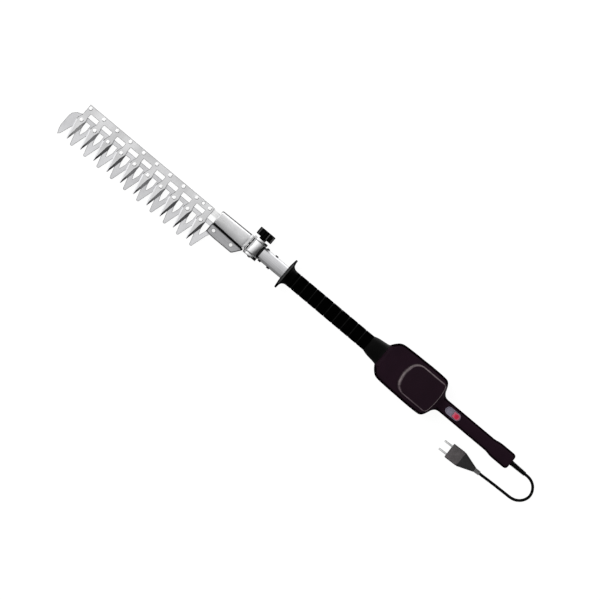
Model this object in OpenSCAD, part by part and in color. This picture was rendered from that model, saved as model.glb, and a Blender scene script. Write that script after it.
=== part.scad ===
// Corded hedge trimmer with a tilting head, laid flat on its motor housing.
// X runs from the blade to the rear handle, Y points to the knob side (the teeth
// point to -Y) and Z is up. The origin is the middle of the flat underside.

/* [Blade] */
// Distance between two teeth of the comb
tooth_pitch = 34.6; // [30:0.1:38]
// Number of comb teeth
tooth_count = 10; // [4:1:11]
// Reach of the comb teeth from the tool's centre line
comb_reach = 74.5; // [68:0.5:80]
// Reach of the cutter teeth from the tool's centre line
cutter_reach = 80; // [74:0.5:88]
// Thickness of the fixed comb plate
comb_t = 2.2; // [1.6:0.1:3]
// Thickness of the moving cutter plate
cutter_t = 2.1; // [1.6:0.1:2.6]
// Width of the comb's top strip
strip_w = 14.6; // [12:0.1:15]
// Width of the cutter's strip
cutter_strip_w = 8.5; // [6.5:0.1:8.5]
// Width of one comb rung
rung_w = 12.4; // [10:0.1:13]
// Radius of the rivets' heads
rivet_head_r = 4.2; // [3.2:0.1:4.4]
// Free length of the blade between the comb and the gearbox
blade_gap = 16; // [13:0.5:20]
// Travel of the cutter to each side
half_stroke = 6.5; // [5:0.1:7]

/* [Head] */
// Length of the gearbox
gearbox_len = 75; // [75:0.5:90]
// Width of the gearbox at its front
gearbox_front_w = 30.1; // [30.1:0.1:32]
// Width of the gearbox at its rear
gearbox_rear_w = 33.8; // [33.6:0.1:36]
// Height of the gearbox above the blade
gearbox_h = 24.7; // [24:0.1:30]
// Wall of the gearbox
gearbox_wall = 2.5; // [2:0.1:2.8]
// Thickness of the bottom cover
cover_t = 3; // [2.5:0.1:4]
// Thickness of the foot bracket
bracket_t = 4; // [3:0.1:5]
// Reach of the foot bracket from the centre line
bracket_reach = 39; // [36:0.5:42]
// Teeth of the spur pinion on the head shaft
pinion_teeth = 9; // [9:1:9]
// Teeth of the crank gear
crank_teeth = 36; // [36:1:36]
// Teeth of each bevel gear at the pivot
bevel_teeth = 14; // [12:1:16]

/* [Pivot] */
// Diameter of the pivot barrel
barrel_d = 30.6; // [30:0.2:34]
// Length of the pivot barrel
barrel_len = 29.3; // [29:0.1:32]
// Thickness of the upper fork arm
upper_arm_t = 4.9; // [4:0.1:7]
// Thickness of the lower fork arm
lower_arm_t = 6.7; // [5:0.1:8]
// Diameter of the pivot bolt
bolt_d = 8; // [7:0.1:8.4]
// Diameter of the clamp knob
knob_d = 37; // [30:0.1:42]
// Height of the knob's grip
knob_h = 15; // [11:0.5:20]
// Height of the knob's stem
knob_stem_h = 5; // [3:0.5:8]
// Number of flutes round the knob
knob_flutes = 16; // [10:1:24]

/* [Tube and grip] */
// Outer diameter of the tube
tube_d = 28; // [27:0.1:30]
// Wall of the tube
tube_wall = 2; // [1.5:0.1:2.2]
// Free length of tube between the pivot and the guard
tube_show = 60.5; // [55:0.5:120]
// Diameter of the guard flange, which also touches the ground
guard_d = 70; // [60:1:70]
// Length of the guard and its flare
guard_len = 22; // [18:0.5:30]
// Diameter of the front grip
grip_d = 35; // [33.6:0.1:38]
// Length of the front grip
grip_len = 198; // [150:1:260]
// Number of rings moulded into the grip
grip_rings = 9; // [4:1:12]
// Length of the collar between grip and housing
collar_len = 36; // [30:0.5:50]
// Diameter of the collar's rear end
collar_d = 50; // [44:0.5:52]

/* [Motor housing] */
// Width of the motor housing
housing_w = 92; // [88:1:104]
// Height of the motor housing, with its raised cover
housing_h = 70; // [70:1:80]
// Wall of the housing
housing_wall = 3; // [2.2:0.1:3.2]
// Height of the raised cover on top
panel_h = 3.5; // [2:0.1:5]
// Length of the raised cover
panel_len = 90; // [80:1:92]
// Width of the raised cover
panel_w = 72.4; // [60:0.2:73]
// Outer diameter of the stator
stator_d = 54; // [50:0.5:56]
// Length of the stator
stator_len = 46; // [40:0.5:47]
// Diameter of the armature
armature_d = 31; // [28:0.5:32]
// Diameter of the motor shaft and of the drive shaft
shaft_d = 8; // [7:0.1:8.4]
// Diameter of the cooling fan
fan_d = 54; // [46:0.5:56]
// Number of fan blades
fan_blades = 9; // [7:1:13]

/* [Handle and switch] */
// Width of the rear handle
handle_w = 29.6; // [28:0.2:34]
// Height of the rear handle
handle_h = 32; // [30:0.5:36]
// Distance from the origin to the rear end of the handle
handle_end = 265; // [255:1:300]
// Width of the handle's thick end
handle_end_w = 35.2; // [33:0.2:40]
// Length of the switch's bezel
bezel_len = 36; // [34:0.5:42]
// Width of the switch's bezel
bezel_w = 15.7; // [14.5:0.1:18]
// Travel of the switch button
button_travel = 8; // [5:0.5:8.5]

/* [Cord and plug] */
// Diameter of the mains cord
cord_d = 6; // [5.4:0.1:6.1]
// Length of the strain relief
relief_len = 35; // [35:1:35]
// Width of the plug's front block
plug_w = 33.4; // [30:0.2:36]
// Thickness of the plug
plug_t = 16; // [16:0.5:16]
// Diameter of a plug pin
pin_d = 4; // [3.6:0.1:4.8]
// Length of a plug pin
pin_len = 19; // [17:0.5:22]
// Distance between the two plug pins
pin_gap = 19.5; // [18:0.1:20]

/* [Fits] */
// Gap between parts that move past each other
run_gap = 0.3; // [0.25:0.05:0.4]
// Radial clearance of a shaft in its bush
fit_gap = 0.03; // [0.02:0.01:0.06]

/* [Hidden] */
$fn = 48;
HULL_FN = 32;
EPS = 0.01;
// clearance of a metal part in its plastic seat
seat_gap = 0.03;
BIG = 400;

// ---- places along the tool, worked out from the origin towards the blade
axis_z = housing_h / 2;
housing_front = -70;
housing_rear = 74;
collar_front = housing_front - collar_len;
grip_front = collar_front - grip_len;
guard_front = grip_front - guard_len;
tube_front = guard_front - tube_show;
knuckle_shoulder = 15.5;
pivot_x = tube_front - knuckle_shoulder;
barrel_r = barrel_d / 2;
barrel_top = barrel_len / 2 + 0.35;
barrel_bottom = barrel_top - barrel_len;
fork_clear = 0.9;
fork_x = pivot_x - barrel_r - fork_clear;
fork_base_t = 5.8;
gearbox_rear = fork_x - fork_base_t;
gearbox_front = gearbox_rear - gearbox_len;
comb_end = gearbox_front - blade_gap;
rung_off = 1.1;
last_rivet = comb_end - rung_w / 2 - rung_off;
first_rivet = last_rivet - (tooth_count - 1) * tooth_pitch;

// ---- heights of the blade's layers
blade_drop = 12.4;
cover_top = axis_z - blade_drop;
cutter_z = cover_top + run_gap;
comb_z = cutter_z + cutter_t + run_gap;
comb_top = comb_z + comb_t;
cover_z = cover_top - cover_t;
gearbox_top = comb_z + gearbox_h;

// ---- comb and cutter outline values, measured from the centre line
strip_top = 8.3;
strip_low = strip_top - strip_w;
top_rivet_y = 2;
stud_y = -27;
rivet_r = 2;
cutter_strip_top = -15.7;
cutter_strip_low = cutter_strip_top - cutter_strip_w;
comb_left = 9.6;
comb_right = 11.2;
comb_tip_w = 2.4;
cutter_shift = 16.1;
cutter_half = 12.4;
slot_half = 5.7;
slot_deep = 52;
slot_r = 1.6;
bevel_w = 5.6;
edge_w = 2.6;
// corners of the long bevel's inner line, from the tooth's rivet
bevel_tip = [-0.1, -comb_reach];
bevel_bend = [4.6, -37];
bevel_head = [8.8, -25];
stud_slot_half = half_stroke + rivet_r + run_gap;

// ---- foot bracket
bracket_screw_a = gearbox_front + 10.4;
bracket_screw_b = gearbox_rear - 20;
bracket_front = gearbox_front - 1;

// ---- crank
crank_x = gearbox_rear - 31;
roller_r = 3.5;
crank_pin_r = 2.5;
gear_module = 0.6;
spur_r = pinion_teeth * gear_module / 2;
gear_r = crank_teeth * gear_module / 2;
spur_out = spur_r + gear_module;
gear_top = axis_z - spur_out - run_gap;
gear_low = comb_z + 0.7;
gear_out = gear_r + 1.3;
head_shaft_r = 3;
journal_r = 4;
journal_top = gearbox_top - 3.5;
boss_low = axis_z + head_shaft_r + 0.5;
bush_r = 7;
// how far a sine runs from the straight line that joins its ends, per unit
SINE_GAP = 0.2105;
yoke_half_w = roller_r + SINE_GAP * half_stroke + run_gap;
yoke_half_l = half_stroke + roller_r + run_gap;
yoke_rim_x = 3.2;
yoke_rim_y = 1.4;

// ---- pivot gears
bevel_in = 5.6;
bevel_out = 8.4;
bevel_hub = 1;
bearing_r = 8;
bearing_w = 5;
bolt_r = bolt_d / 2;
shaft_r = shaft_d / 2;
tube_r = tube_d / 2;
tube_bore = tube_r - tube_wall;
cavity_r = 12;
bush_face = 10.2;
upper_arm_y = barrel_top + run_gap;
upper_arm_top = upper_arm_y + upper_arm_t;
lower_arm_y = barrel_bottom - run_gap;
lower_arm_end = lower_arm_y - lower_arm_t;
arm_r = barrel_r + 0.45;
knob_y = upper_arm_top + run_gap;

// ---- motor
front_bearing_x = -58;
rear_bearing_x = 46;
motor_bearing_r = 11;
motor_bearing_w = 7;
stator_x = -28;
coupling_x = -86;
coupling_len = 22;
coupling_r = 7;
commutator_x = stator_x + stator_len + 8;
commutator_len = 13;
commutator_r = 10;
fan_x = -46;
fan_w = 10;
panel_x = -18;
shell_top = housing_h - panel_h;

// ---- handle and switch
handle_r = 9;
handle_z = axis_z;
handle_top = handle_z + handle_h / 2;
bezel_x = 95;
bezel_wall = 1.2;
bezel_rise = 0.8;
bezel_deep = 4;
button_len = 17.4;
relief_x = handle_end + 1;
relief_r = 5.4;
relief_end = relief_x + relief_len;
screw_r = 1.9;
screw_head_r = 3.4;
screw_spots = [
    [-50, 30], [-50, -30], [50, 33], [50, -33], [148, 0], [246, 10.2], [246, -10.2]
];

// ---- plug
plug_end = [232, -57.5, 8];
plug_turn = 2.3;
plug_relief_l = 13;
plug_relief_r = 4.9;
plug_taper_l = 33;
plug_block_l = 30;

// ---- cord route, from the strain relief to the plug, on the ground after the bend
cord_route = [
    [301, 0, 35], [309, 0, 34.6], [317, -1.4, 33.2], [325, -5.2, 30], [331.3, -11, 26],
    [336.2, -19.6, 21], [337.8, -29, 16], [335.4, -38, 11.2], [329.8, -46, 7.5],
    [321, -52, 4.9], [311, -54.5, 3.6], [300, -55, 3.1], [286, -55.4, 3.1],
    [272, -55.8, 3.3], [258, -56.4, 4.8], [246, -57, 7], [238, -57.4, 7.9],
    [232, -57.5, 8]
];
cord_sides = 8;
curve_steps = 2;

// ---------------------------------------------------------------- helpers

// a cylinder along X, from x0 to x1
module rod_x(x0, x1, r, y = 0, z = axis_z) {
    translate([x0, y, z]) rotate([0, 90, 0]) cylinder(h = x1 - x0, r = r);
}

// a cylinder along Y, from y0 to y1
module rod_y(y0, y1, r, x = pivot_x, z = axis_z) {
    translate([x, y1, z]) rotate([90, 0, 0]) cylinder(h = y1 - y0, r = r);
}

// a cylinder along Z, from z0 to z1
module rod_z(z0, z1, r, x, y) {
    translate([x, y, z0]) cylinder(h = z1 - z0, r = r);
}

module ring_x(x0, x1, outer, inner) {
    difference() {
        rod_x(x0, x1, outer);
        rod_x(x0 - 1, x1 + 1, inner);
    }
}

// a profile of [x, radius] points turned round the tool's axis
module turned_x(points) {
    translate([0, 0, axis_z]) rotate([0, 90, 0]) rotate_extrude()
        polygon([for (p = points) [p[1], p[0]]]);
}

module slab(x0, x1, y0, y1, z0, z1) {
    translate([x0, y0, z0]) cube([x1 - x0, y1 - y0, z1 - z0]);
}

// a flat outline given a thickness between two heights
module plate(z0, z1) {
    translate([0, 0, z0]) linear_extrude(z1 - z0) children();
}

// ------------------------------------------------------------ comb and cutter

module each_tooth() {
    for (i = [0 : tooth_count - 1]) translate([first_rivet + i * tooth_pitch, 0, 0]) children();
}

comb_tip_x = 1.1;
comb_shoulder_l = -32;
comb_shoulder_r = -38;
comb_root = -23.5;

module comb_tooth_outline() {
    polygon([
        [rung_off - rung_w / 2, cutter_strip_top], [-comb_left + 1.6, comb_root],
        [-comb_left, comb_shoulder_l], [comb_tip_x - comb_tip_w / 2, -comb_reach],
        [comb_tip_x + comb_tip_w / 2, -comb_reach], [comb_right, comb_shoulder_r],
        [comb_right - 2.2, comb_root], [rung_off + rung_w / 2, cutter_strip_top]
    ]);
}

// a wedge that takes the top edge off along the line from p to q
module edge_cut(p, q, width, deep) {
    dir = atan2(q[1] - p[1], q[0] - p[0]);
    len = norm(q - p);
    over = 1;
    translate([p[0], p[1], comb_top]) rotate([0, 0, dir]) rotate([90, 0, 90])
        translate([0, 0, -over]) linear_extrude(len + 2 * over)
            polygon([[-over, -deep - over * deep / width], [-over, over],
                [width, over], [width, 0]]);
}

bevel_deep = 0.75;

module comb_plate() {
    color("silver") difference() {
        plate(comb_z, comb_top) {
            translate([first_rivet - 5, strip_low])
                square([comb_end - first_rivet + 5, strip_w]);
            each_tooth() {
                translate([rung_off - rung_w / 2, comb_root])
                    square([rung_w, strip_low - comb_root]);
                comb_tooth_outline();
            }
        }
        each_tooth() {
            for (line = [[bevel_tip, bevel_bend], [bevel_bend, bevel_head]])
                edge_cut(line[0] + [bevel_w, 0], line[1] + [bevel_w, 0], bevel_w,
                    comb_t * bevel_deep);
            edge_cut([-comb_left, comb_shoulder_l], [comb_tip_x - comb_tip_w / 2, -comb_reach],
                edge_w, comb_t * bevel_deep);
            rod_z(comb_z - 1, comb_top + 1, rivet_r, 0, top_rivet_y);
            rod_z(comb_z - 1, comb_top + 1, rivet_r, 0, stud_y);
        }
        rod_z(comb_z - 1, comb_top + 1, 3.4, last_rivet - tooth_pitch / 2, top_rivet_y);
    }
}

// the bar behind the comb's top strip, whose tail is held in the gearbox
bar_tail_low = -5;
bar_tail_top = 6.7;
bar_tail_end = gearbox_front + 21;

module support_bar() {
    color("gainsboro") difference() {
        plate(cover_top, comb_z) {
            translate([first_rivet - 5, strip_low])
                square([comb_end - first_rivet + 5, strip_w]);
            translate([comb_end - 1, bar_tail_low])
                square([bar_tail_end - comb_end + 1, bar_tail_top - bar_tail_low]);
        }
        each_tooth() rod_z(cover_top - 1, comb_z + 1, rivet_r, 0, top_rivet_y);
        rod_z(cover_top - 1, comb_z + 1, 3.4, last_rivet - tooth_pitch / 2, top_rivet_y);
    }
}

module rivet(z0, z1, y, head_h) {
    rod_z(z0, z1, rivet_r, 0, y);
    translate([0, y, z1]) cylinder(h = head_h, r1 = rivet_head_r, r2 = rivet_head_r - 1);
}

module comb_rivets() {
    color("white") each_tooth() {
        rivet(cover_top, comb_top, top_rivet_y, 1.2);
        rod_z(cover_top - 1, cover_top, rivet_head_r - 0.5, 0, top_rivet_y);
    }
}

washer_t = 1.2;

module guide_studs() {
    color("white") each_tooth() {
        rivet(cutter_z - run_gap - washer_t - 0.8, comb_top, stud_y, 1.2);
    }
}

module stud_washers() {
    color("gray") each_tooth() difference() {
        rod_z(cutter_z - run_gap - washer_t, cutter_z - run_gap, 5.2, 0, stud_y);
        rod_z(cutter_z - 4, cutter_z + 1, rivet_r, 0, stud_y);
    }
}

module cutter_tooth_outline() {
    half = tooth_pitch / 2 + 5 * EPS;
    difference() {
        union() {
            polygon([
                [-half, cutter_strip_low + 1], [-half, -36],
                [-cutter_half, -46], [-7.6, -62], [-3.4, 3.4 - cutter_reach],
                [3.4, 3.4 - cutter_reach], [7.6, -62], [cutter_half, -46],
                [half, -36], [half, cutter_strip_low + 1]
            ]);
            translate([0, 3.4 - cutter_reach]) circle(r = 3.4);
        }
        polygon([
            [-slot_half, cutter_strip_low], [-slot_half, -38], [-slot_r, slot_r - slot_deep],
            [slot_r, slot_r - slot_deep], [slot_half, -38], [slot_half, cutter_strip_low]
        ]);
        translate([0, slot_r - slot_deep]) circle(r = slot_r);
    }
}

end_tip_x = -18.5;
end_y = -28;

// the cutter's first tooth, past the end of the comb
module cutter_end_outline() {
    polygon([
        [-1, cutter_strip_top], [-4, cutter_strip_top - 0.4],
        [end_tip_x + 3.9, cutter_strip_top - 4.8], [end_tip_x - 3.8, end_y],
        [end_tip_x - 5.7, end_y - 8], [end_tip_x - 6.2, 19.5 - cutter_reach],
        [end_tip_x - 3.8, 9.5 - cutter_reach], [end_tip_x, 1 - cutter_reach],
        [end_tip_x + 3.9, 5.5 - cutter_reach], [-6.5, end_y - 24], [0.1, end_y - 12],
        [0.1, cutter_strip_top]
    ]);
}

cutter_x0 = first_rivet + cutter_shift;
cutter_end_x = last_rivet + cutter_shift + tooth_pitch / 2;
shoulder_end = bracket_screw_a + stud_slot_half + 2.5;

// neck that joins the cutter's strip to its yoke
module cutter_neck() {
    polygon([
        [crank_x - 30, cutter_strip_top - 1], [crank_x - yoke_half_w - yoke_rim_x - 2, -12],
        [crank_x - 1, -yoke_half_l - yoke_rim_y / 2], [crank_x - 7, cutter_strip_low + 1],
        [crank_x - 30, cutter_strip_low + 1]
    ]);
}

module stud_slot() {
    translate([-stud_slot_half + rivet_r + run_gap, 0]) circle(r = rivet_r + run_gap);
    translate([stud_slot_half - rivet_r - run_gap, 0]) circle(r = rivet_r + run_gap);
    square([2 * (stud_slot_half - rivet_r - run_gap), 2 * (rivet_r + run_gap)], center = true);
}

module cutter_blade() {
    z1 = cutter_z + cutter_t;
    strip_x = cutter_x0 - tooth_pitch / 2;
    color("silver") difference() {
        union() {
            for (i = [0 : tooth_count - 1]) plate(cutter_z, z1)
                translate([cutter_x0 + i * tooth_pitch, 0]) cutter_tooth_outline();
            plate(cutter_z, z1) translate([strip_x, 0]) cutter_end_outline();
            slab(strip_x, crank_x - 10, cutter_strip_low, cutter_strip_top, cutter_z, z1);
            // shoulder under the foot bracket, guided by the bracket's front screw
            slab(cutter_end_x - 11, shoulder_end, -35, cutter_strip_low + 1, cutter_z, z1);
            plate(cutter_z, z1) cutter_neck();
            slab(crank_x - yoke_half_w - yoke_rim_x, crank_x + yoke_half_w + yoke_rim_x,
                -yoke_half_l - yoke_rim_y, yoke_half_l + yoke_rim_y, cutter_z, z1);
        }
        plate(cutter_z - 1, z1 + 1) {
            each_tooth() translate([0, stud_y]) stud_slot();
            translate([bracket_screw_a, stud_y]) stud_slot();
        }
        slab(crank_x - yoke_half_w, crank_x + yoke_half_w, -yoke_half_l, yoke_half_l,
            cutter_z - 1, z1 + 1);
    }
}

// ------------------------------------------------------------------- head

seal_w = 3;
// the seal runs on beside the fork's base, this far out from the gearbox's side
seal_step = 0.6;
seal_end = fork_x - 1.5;

// how far the middle of the gearbox stands off the centre line, at its front and rear
gearbox_off_front = 0.65;
gearbox_off_rear = 0.15;

// a value between the front and the rear of the gearbox, at a place x
function along_gearbox(x, front, rear) =
    front + (rear - front) * (x - gearbox_front) / gearbox_len;

// sides of the gearbox towards the knob and towards the seal, at a place x
function gearbox_high(x) = along_gearbox(x, gearbox_off_front + gearbox_front_w / 2,
    gearbox_off_rear + gearbox_rear_w / 2);
function gearbox_low(x) = along_gearbox(x, gearbox_off_front - gearbox_front_w / 2,
    gearbox_off_rear - gearbox_rear_w / 2);

// size of the chamfer at the front corner of the gearbox
gearbox_nose = 2;

module gearbox_outline(inset = 0) {
    xf = gearbox_front + inset;
    xr = gearbox_rear - inset;
    polygon([
        [xf, gearbox_low(xf) + inset], [xr, gearbox_low(xr) + inset],
        [xr, gearbox_high(xr) - inset], [xf + gearbox_nose, gearbox_high(xf) - inset],
        [xf, gearbox_high(xf) - inset - gearbox_nose]
    ]);
}

module bracket_outline() {
    polygon([
        [bracket_front, gearbox_low(bracket_front) - seal_w],
        [bracket_front, 2.4 - bracket_reach], [bracket_front + 12, 0.4 - bracket_reach],
        [bracket_front + 20, -bracket_reach], [bracket_screw_b + 9, -bracket_reach],
        [bracket_screw_b + 12, 2.2 - bracket_reach],
        [seal_end, gearbox_low(gearbox_rear) - seal_w - 1],
        [seal_end, gearbox_low(gearbox_rear) - seal_w - seal_step],
        [gearbox_rear, gearbox_low(gearbox_rear) - seal_w]
    ]);
}

module seal_outline() {
    polygon([
        [gearbox_front, gearbox_low(gearbox_front)], [gearbox_rear, gearbox_low(gearbox_rear)],
        [gearbox_rear, gearbox_low(gearbox_rear) - seal_step],
        [seal_end, gearbox_low(gearbox_rear) - seal_step],
        [seal_end, gearbox_low(gearbox_rear) - seal_step - seal_w],
        [gearbox_rear, gearbox_low(gearbox_rear) - seal_w],
        [gearbox_front, gearbox_low(gearbox_front) - seal_w]
    ]);
}

gearbox_round = 9;

// cross-section of the gearbox above the blade, rounded along its top edges
module gearbox_section(x) {
    w = gearbox_high(x) - gearbox_low(x);
    y0 = gearbox_low(x);
    hull() {
        translate([comb_z, y0]) square([1, w]);
        translate([gearbox_top - gearbox_round, y0 + gearbox_round])
            circle(r = gearbox_round, $fn = HULL_FN);
        translate([gearbox_top - gearbox_round, y0 + w - gearbox_round])
            circle(r = gearbox_round, $fn = HULL_FN);
    }
}

module gearbox_body() {
    skin = 0.5;
    hull() {
        translate([gearbox_front, 0, 0]) rotate([0, -90, 0]) mirror([0, 0, 1])
            linear_extrude(skin) gearbox_section(gearbox_front);
        translate([gearbox_rear - skin, 0, 0]) rotate([0, -90, 0]) mirror([0, 0, 1])
            linear_extrude(skin) gearbox_section(gearbox_rear - skin);
    }
}

gearbox_screw_spots = [
    [gearbox_front + 5.5, gearbox_high(gearbox_front) - 4.7],
    [gearbox_front + 5.5, gearbox_low(gearbox_front) + 5.2],
    [gearbox_rear - 6, gearbox_high(gearbox_rear) - 5.2],
    [gearbox_rear - 6, gearbox_low(gearbox_rear) + 5.2]
];
gear_boss_r = 3.8;
gear_screw_top = comb_z + 12;

module gearbox_shell() {
    color("gainsboro") difference() {
        gearbox_body();
        difference() {
            plate(comb_z - 1, gearbox_top - gearbox_wall - 1) gearbox_outline(gearbox_wall);
            for (s = gearbox_screw_spots)
                rod_z(comb_z, gear_screw_top + 2, gear_boss_r, s[0], s[1]);
            rod_z(boss_low, gearbox_top, bush_r + 2, crank_x, 0);
            slab(gearbox_rear - bearing_w - 2, gearbox_rear, -BIG, BIG, axis_z - 1, BIG);
            rod_x(gearbox_rear - bearing_w - 2, gearbox_rear, bearing_r + 2);
        }
        for (s = gearbox_screw_spots) rod_z(comb_z - 1, gear_screw_top, screw_r, s[0], s[1]);
        rod_z(boss_low - 1, journal_top + 0.5, bush_r, crank_x, 0);
        rod_x(gearbox_rear - bearing_w, gearbox_rear + 1, bearing_r);
        rod_x(gearbox_rear - bearing_w - 4, gearbox_rear + 1, head_shaft_r + 1);
    }
}

module gearbox_cover() {
    rim = gearbox_wall;
    color("darkgray") difference() {
        union() {
            plate(cover_z, cover_top) {
                gearbox_outline();
                bracket_outline();
                // joins the two under the seal
                translate([gearbox_front, -gearbox_front_w / 2 - 2 * seal_w])
                    square([gearbox_len, 3 * seal_w]);
            }
            // side, rear and front rims that the shell stands on
            plate(cover_top, comb_z) intersection() {
                difference() {
                    gearbox_outline();
                    gearbox_outline(rim);
                }
                union() {
                    translate([gearbox_front, 0.3 + bar_tail_top]) square([gearbox_len, BIG]);
                    translate([crank_x + 22, -BIG]) square([BIG, 2 * BIG]);
                }
            }
            for (s = gearbox_screw_spots)
                rod_z(cover_top, comb_z, gear_boss_r, s[0], s[1]);
            // pad that the foot bracket's rear screw clamps on
            plate(cover_top, comb_z) intersection() {
                bracket_outline();
                translate([shoulder_end + half_stroke + 0.6, -BIG])
                    square([BIG, BIG - 24.5]);
            }
        }
        for (s = gearbox_screw_spots) rod_z(cover_z - 1, comb_z + 1, screw_r, s[0], s[1]);
        for (x = [bracket_screw_a, bracket_screw_b])
            rod_z(cover_z - 1, comb_z + 1, rivet_r, x, stud_y);
    }
}

module gearbox_screws() {
    color("dimgray") for (s = gearbox_screw_spots) {
        rod_z(cover_z, gear_screw_top - 1, screw_r, s[0], s[1]);
        rod_z(cover_z - 1.4, cover_z, screw_head_r, s[0], s[1]);
    }
}

seal_h = 6;

module gearbox_seal() {
    color("black") plate(comb_z, comb_z + seal_h) seal_outline();
}

module foot_bracket() {
    color("gray") difference() {
        plate(comb_z, comb_z + bracket_t) bracket_outline();
        for (x = [bracket_screw_a, bracket_screw_b])
            rod_z(comb_z - 1, comb_z + bracket_t + 1, rivet_r, x, stud_y);
    }
}

module bracket_screws() {
    head_h = 1.6;
    color("white") for (x = [bracket_screw_a, bracket_screw_b]) {
        rod_z(cover_z - 1, comb_z + bracket_t, rivet_r, x, stud_y);
        rod_z(comb_z + bracket_t, comb_z + bracket_t + head_h, rivet_head_r, x, stud_y);
        rod_z(cover_z - 2, cover_z, rivet_head_r, x, stud_y);
    }
}

fork_low = cover_z - 0.6;
fork_high = gearbox_top;
arm_half_z = 12.5;
flare = 3.2;

module head_fork() {
    color("silver") difference() {
        union() {
            intersection() {
                slab(gearbox_rear, fork_x, -BIG, BIG, fork_low, fork_high);
                translate([gearbox_rear - 1, gearbox_off_rear, 0]) rotate([0, 90, 0])
                    linear_extrude(fork_base_t + 2) translate([-fork_high, 0])
                        fork_section();
            }
            plate(axis_z - arm_half_z, axis_z + arm_half_z) {
                polygon([
                    [gearbox_rear + 1, 10], [gearbox_rear + 1, gearbox_high(gearbox_rear)],
                    [fork_x, gearbox_high(gearbox_rear) + 0.3], [fork_x + flare, upper_arm_top],
                    [pivot_x, upper_arm_top], [pivot_x, upper_arm_y], [fork_x, upper_arm_y],
                    [fork_x, 10]
                ]);
                polygon([
                    [gearbox_rear + 1, -10], [gearbox_rear + 1, gearbox_low(gearbox_rear)],
                    [fork_x, gearbox_low(gearbox_rear) - 0.3],
                    [fork_x + flare, lower_arm_end + 0.6],
                    [pivot_x, lower_arm_end + 0.6], [pivot_x, lower_arm_y],
                    [fork_x, lower_arm_y], [fork_x, -10]
                ]);
            }
            rod_y(upper_arm_y, upper_arm_top, arm_r);
            rod_y(lower_arm_end, lower_arm_y, arm_r);
        }
        rod_y(lower_arm_end - 1, upper_arm_top + 1, bolt_r + EPS * 2);
        rod_x(gearbox_rear - 1, gearbox_rear + bearing_w, bearing_r);
        rod_x(gearbox_rear - 1, fork_x + 1, head_shaft_r + 1);
    }
}

// the fork's base, seen along the tool, with its top edges rounded
module fork_section() {
    w = gearbox_rear_w;
    h = fork_high - fork_low;
    r = gearbox_round;
    translate([r, -w / 2]) square([h - r, w]);
    translate([0, r - w / 2]) square([h, w - 2 * r]);
    for (y = [r - w / 2, w / 2 - r]) translate([r, y]) circle(r = r);
}

module head_bearings() {
    color("silver") {
        ring_x(gearbox_rear - bearing_w, gearbox_rear - 0.1, bearing_r - EPS,
            head_shaft_r + fit_gap);
        ring_x(gearbox_rear + 0.1, gearbox_rear + bearing_w, bearing_r - EPS,
            head_shaft_r + fit_gap);
    }
}

module crank_bush() {
    color("goldenrod") difference() {
        rod_z(boss_low, journal_top + 0.5, bush_r - EPS, crank_x, 0);
        rod_z(boss_low - 1, journal_top + 2, journal_r + fit_gap, crank_x, 0);
    }
}

// grooves between the teeth of a cone or drum whose axis is Z, from its middle
module tooth_grooves(count, r0, r1, width, z0, z1) {
    for (i = [0 : count - 1]) rotate([0, 0, i * 360 / count])
        translate([r0, -width / 2, z0]) cube([r1 - r0, width, z1 - z0]);
}

module spur_pinion(length) {
    difference() {
        cylinder(h = length, r = spur_out);
        tooth_grooves(pinion_teeth, spur_r - gear_module, spur_out + 1, gear_module * 1.3,
            -1, length + 1);
    }
}

// a bevel gear that widens along Z, with its cone's point at the origin
module bevel_gear(from, to, hub) {
    difference() {
        union() {
            translate([0, 0, from])
                cylinder(h = to - from, r1 = from - run_gap, r2 = to - run_gap);
            translate([0, 0, to]) cylinder(h = hub, r = to - run_gap - 2.5);
        }
        for (i = [0 : bevel_teeth - 1]) rotate([0, 0, i * 360 / bevel_teeth])
            translate([0, 0, -1.2]) rotate([0, 45, 0])
                translate([-1.6, -0.6, from * sqrt(2)])
                    cube([1.6, 1.2, (to - from) * sqrt(2) + 2]);
    }
}

spur_x = crank_x + gear_r - 3.2;
spur_w = 6;

module head_shaft() {
    color("silver") {
        translate([pivot_x, 0, axis_z]) rotate([0, -90, 0])
            bevel_gear(bevel_in, bevel_out, bevel_hub);
        rod_x(spur_x, pivot_x - bevel_out, head_shaft_r - 0.8);
        rod_x(spur_x + spur_w, pivot_x - bevel_out, head_shaft_r);
        translate([spur_x, 0, axis_z]) rotate([0, 90, 0]) spur_pinion(spur_w);
    }
}

module crank_gear() {
    color("dimgray") {
        difference() {
            rod_z(gear_low, gear_top, gear_out, crank_x, 0);
            translate([crank_x, 0, 0]) tooth_grooves(crank_teeth, gear_out - 4.2,
                gear_out + 1, gear_module * 1.2, gear_top - 1, gear_top + 1);
        }
        rod_z(gear_top - 1, journal_top, journal_r, crank_x, 0);
        rod_z(cutter_z + 0.2, gear_low + 1, crank_pin_r, crank_x, half_stroke);
    }
}

module crank_roller() {
    color("silver") difference() {
        rod_z(cutter_z + 0.2, gear_low - 0.1, roller_r, crank_x, half_stroke);
        rod_z(cutter_z - 1, gear_low + 1, crank_pin_r + EPS, crank_x, half_stroke);
    }
}

// ------------------------------------------------------------------ pivot

spigot_end = pivot_x + 52;
tube_screw_xs = [pivot_x + 22, pivot_x + 44];
slot_half_y = 5;
// length of the knuckle's shoulder that the tube stands against
shoulder_t = 1.2;
window_r = bevel_out + 0.8;

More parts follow.
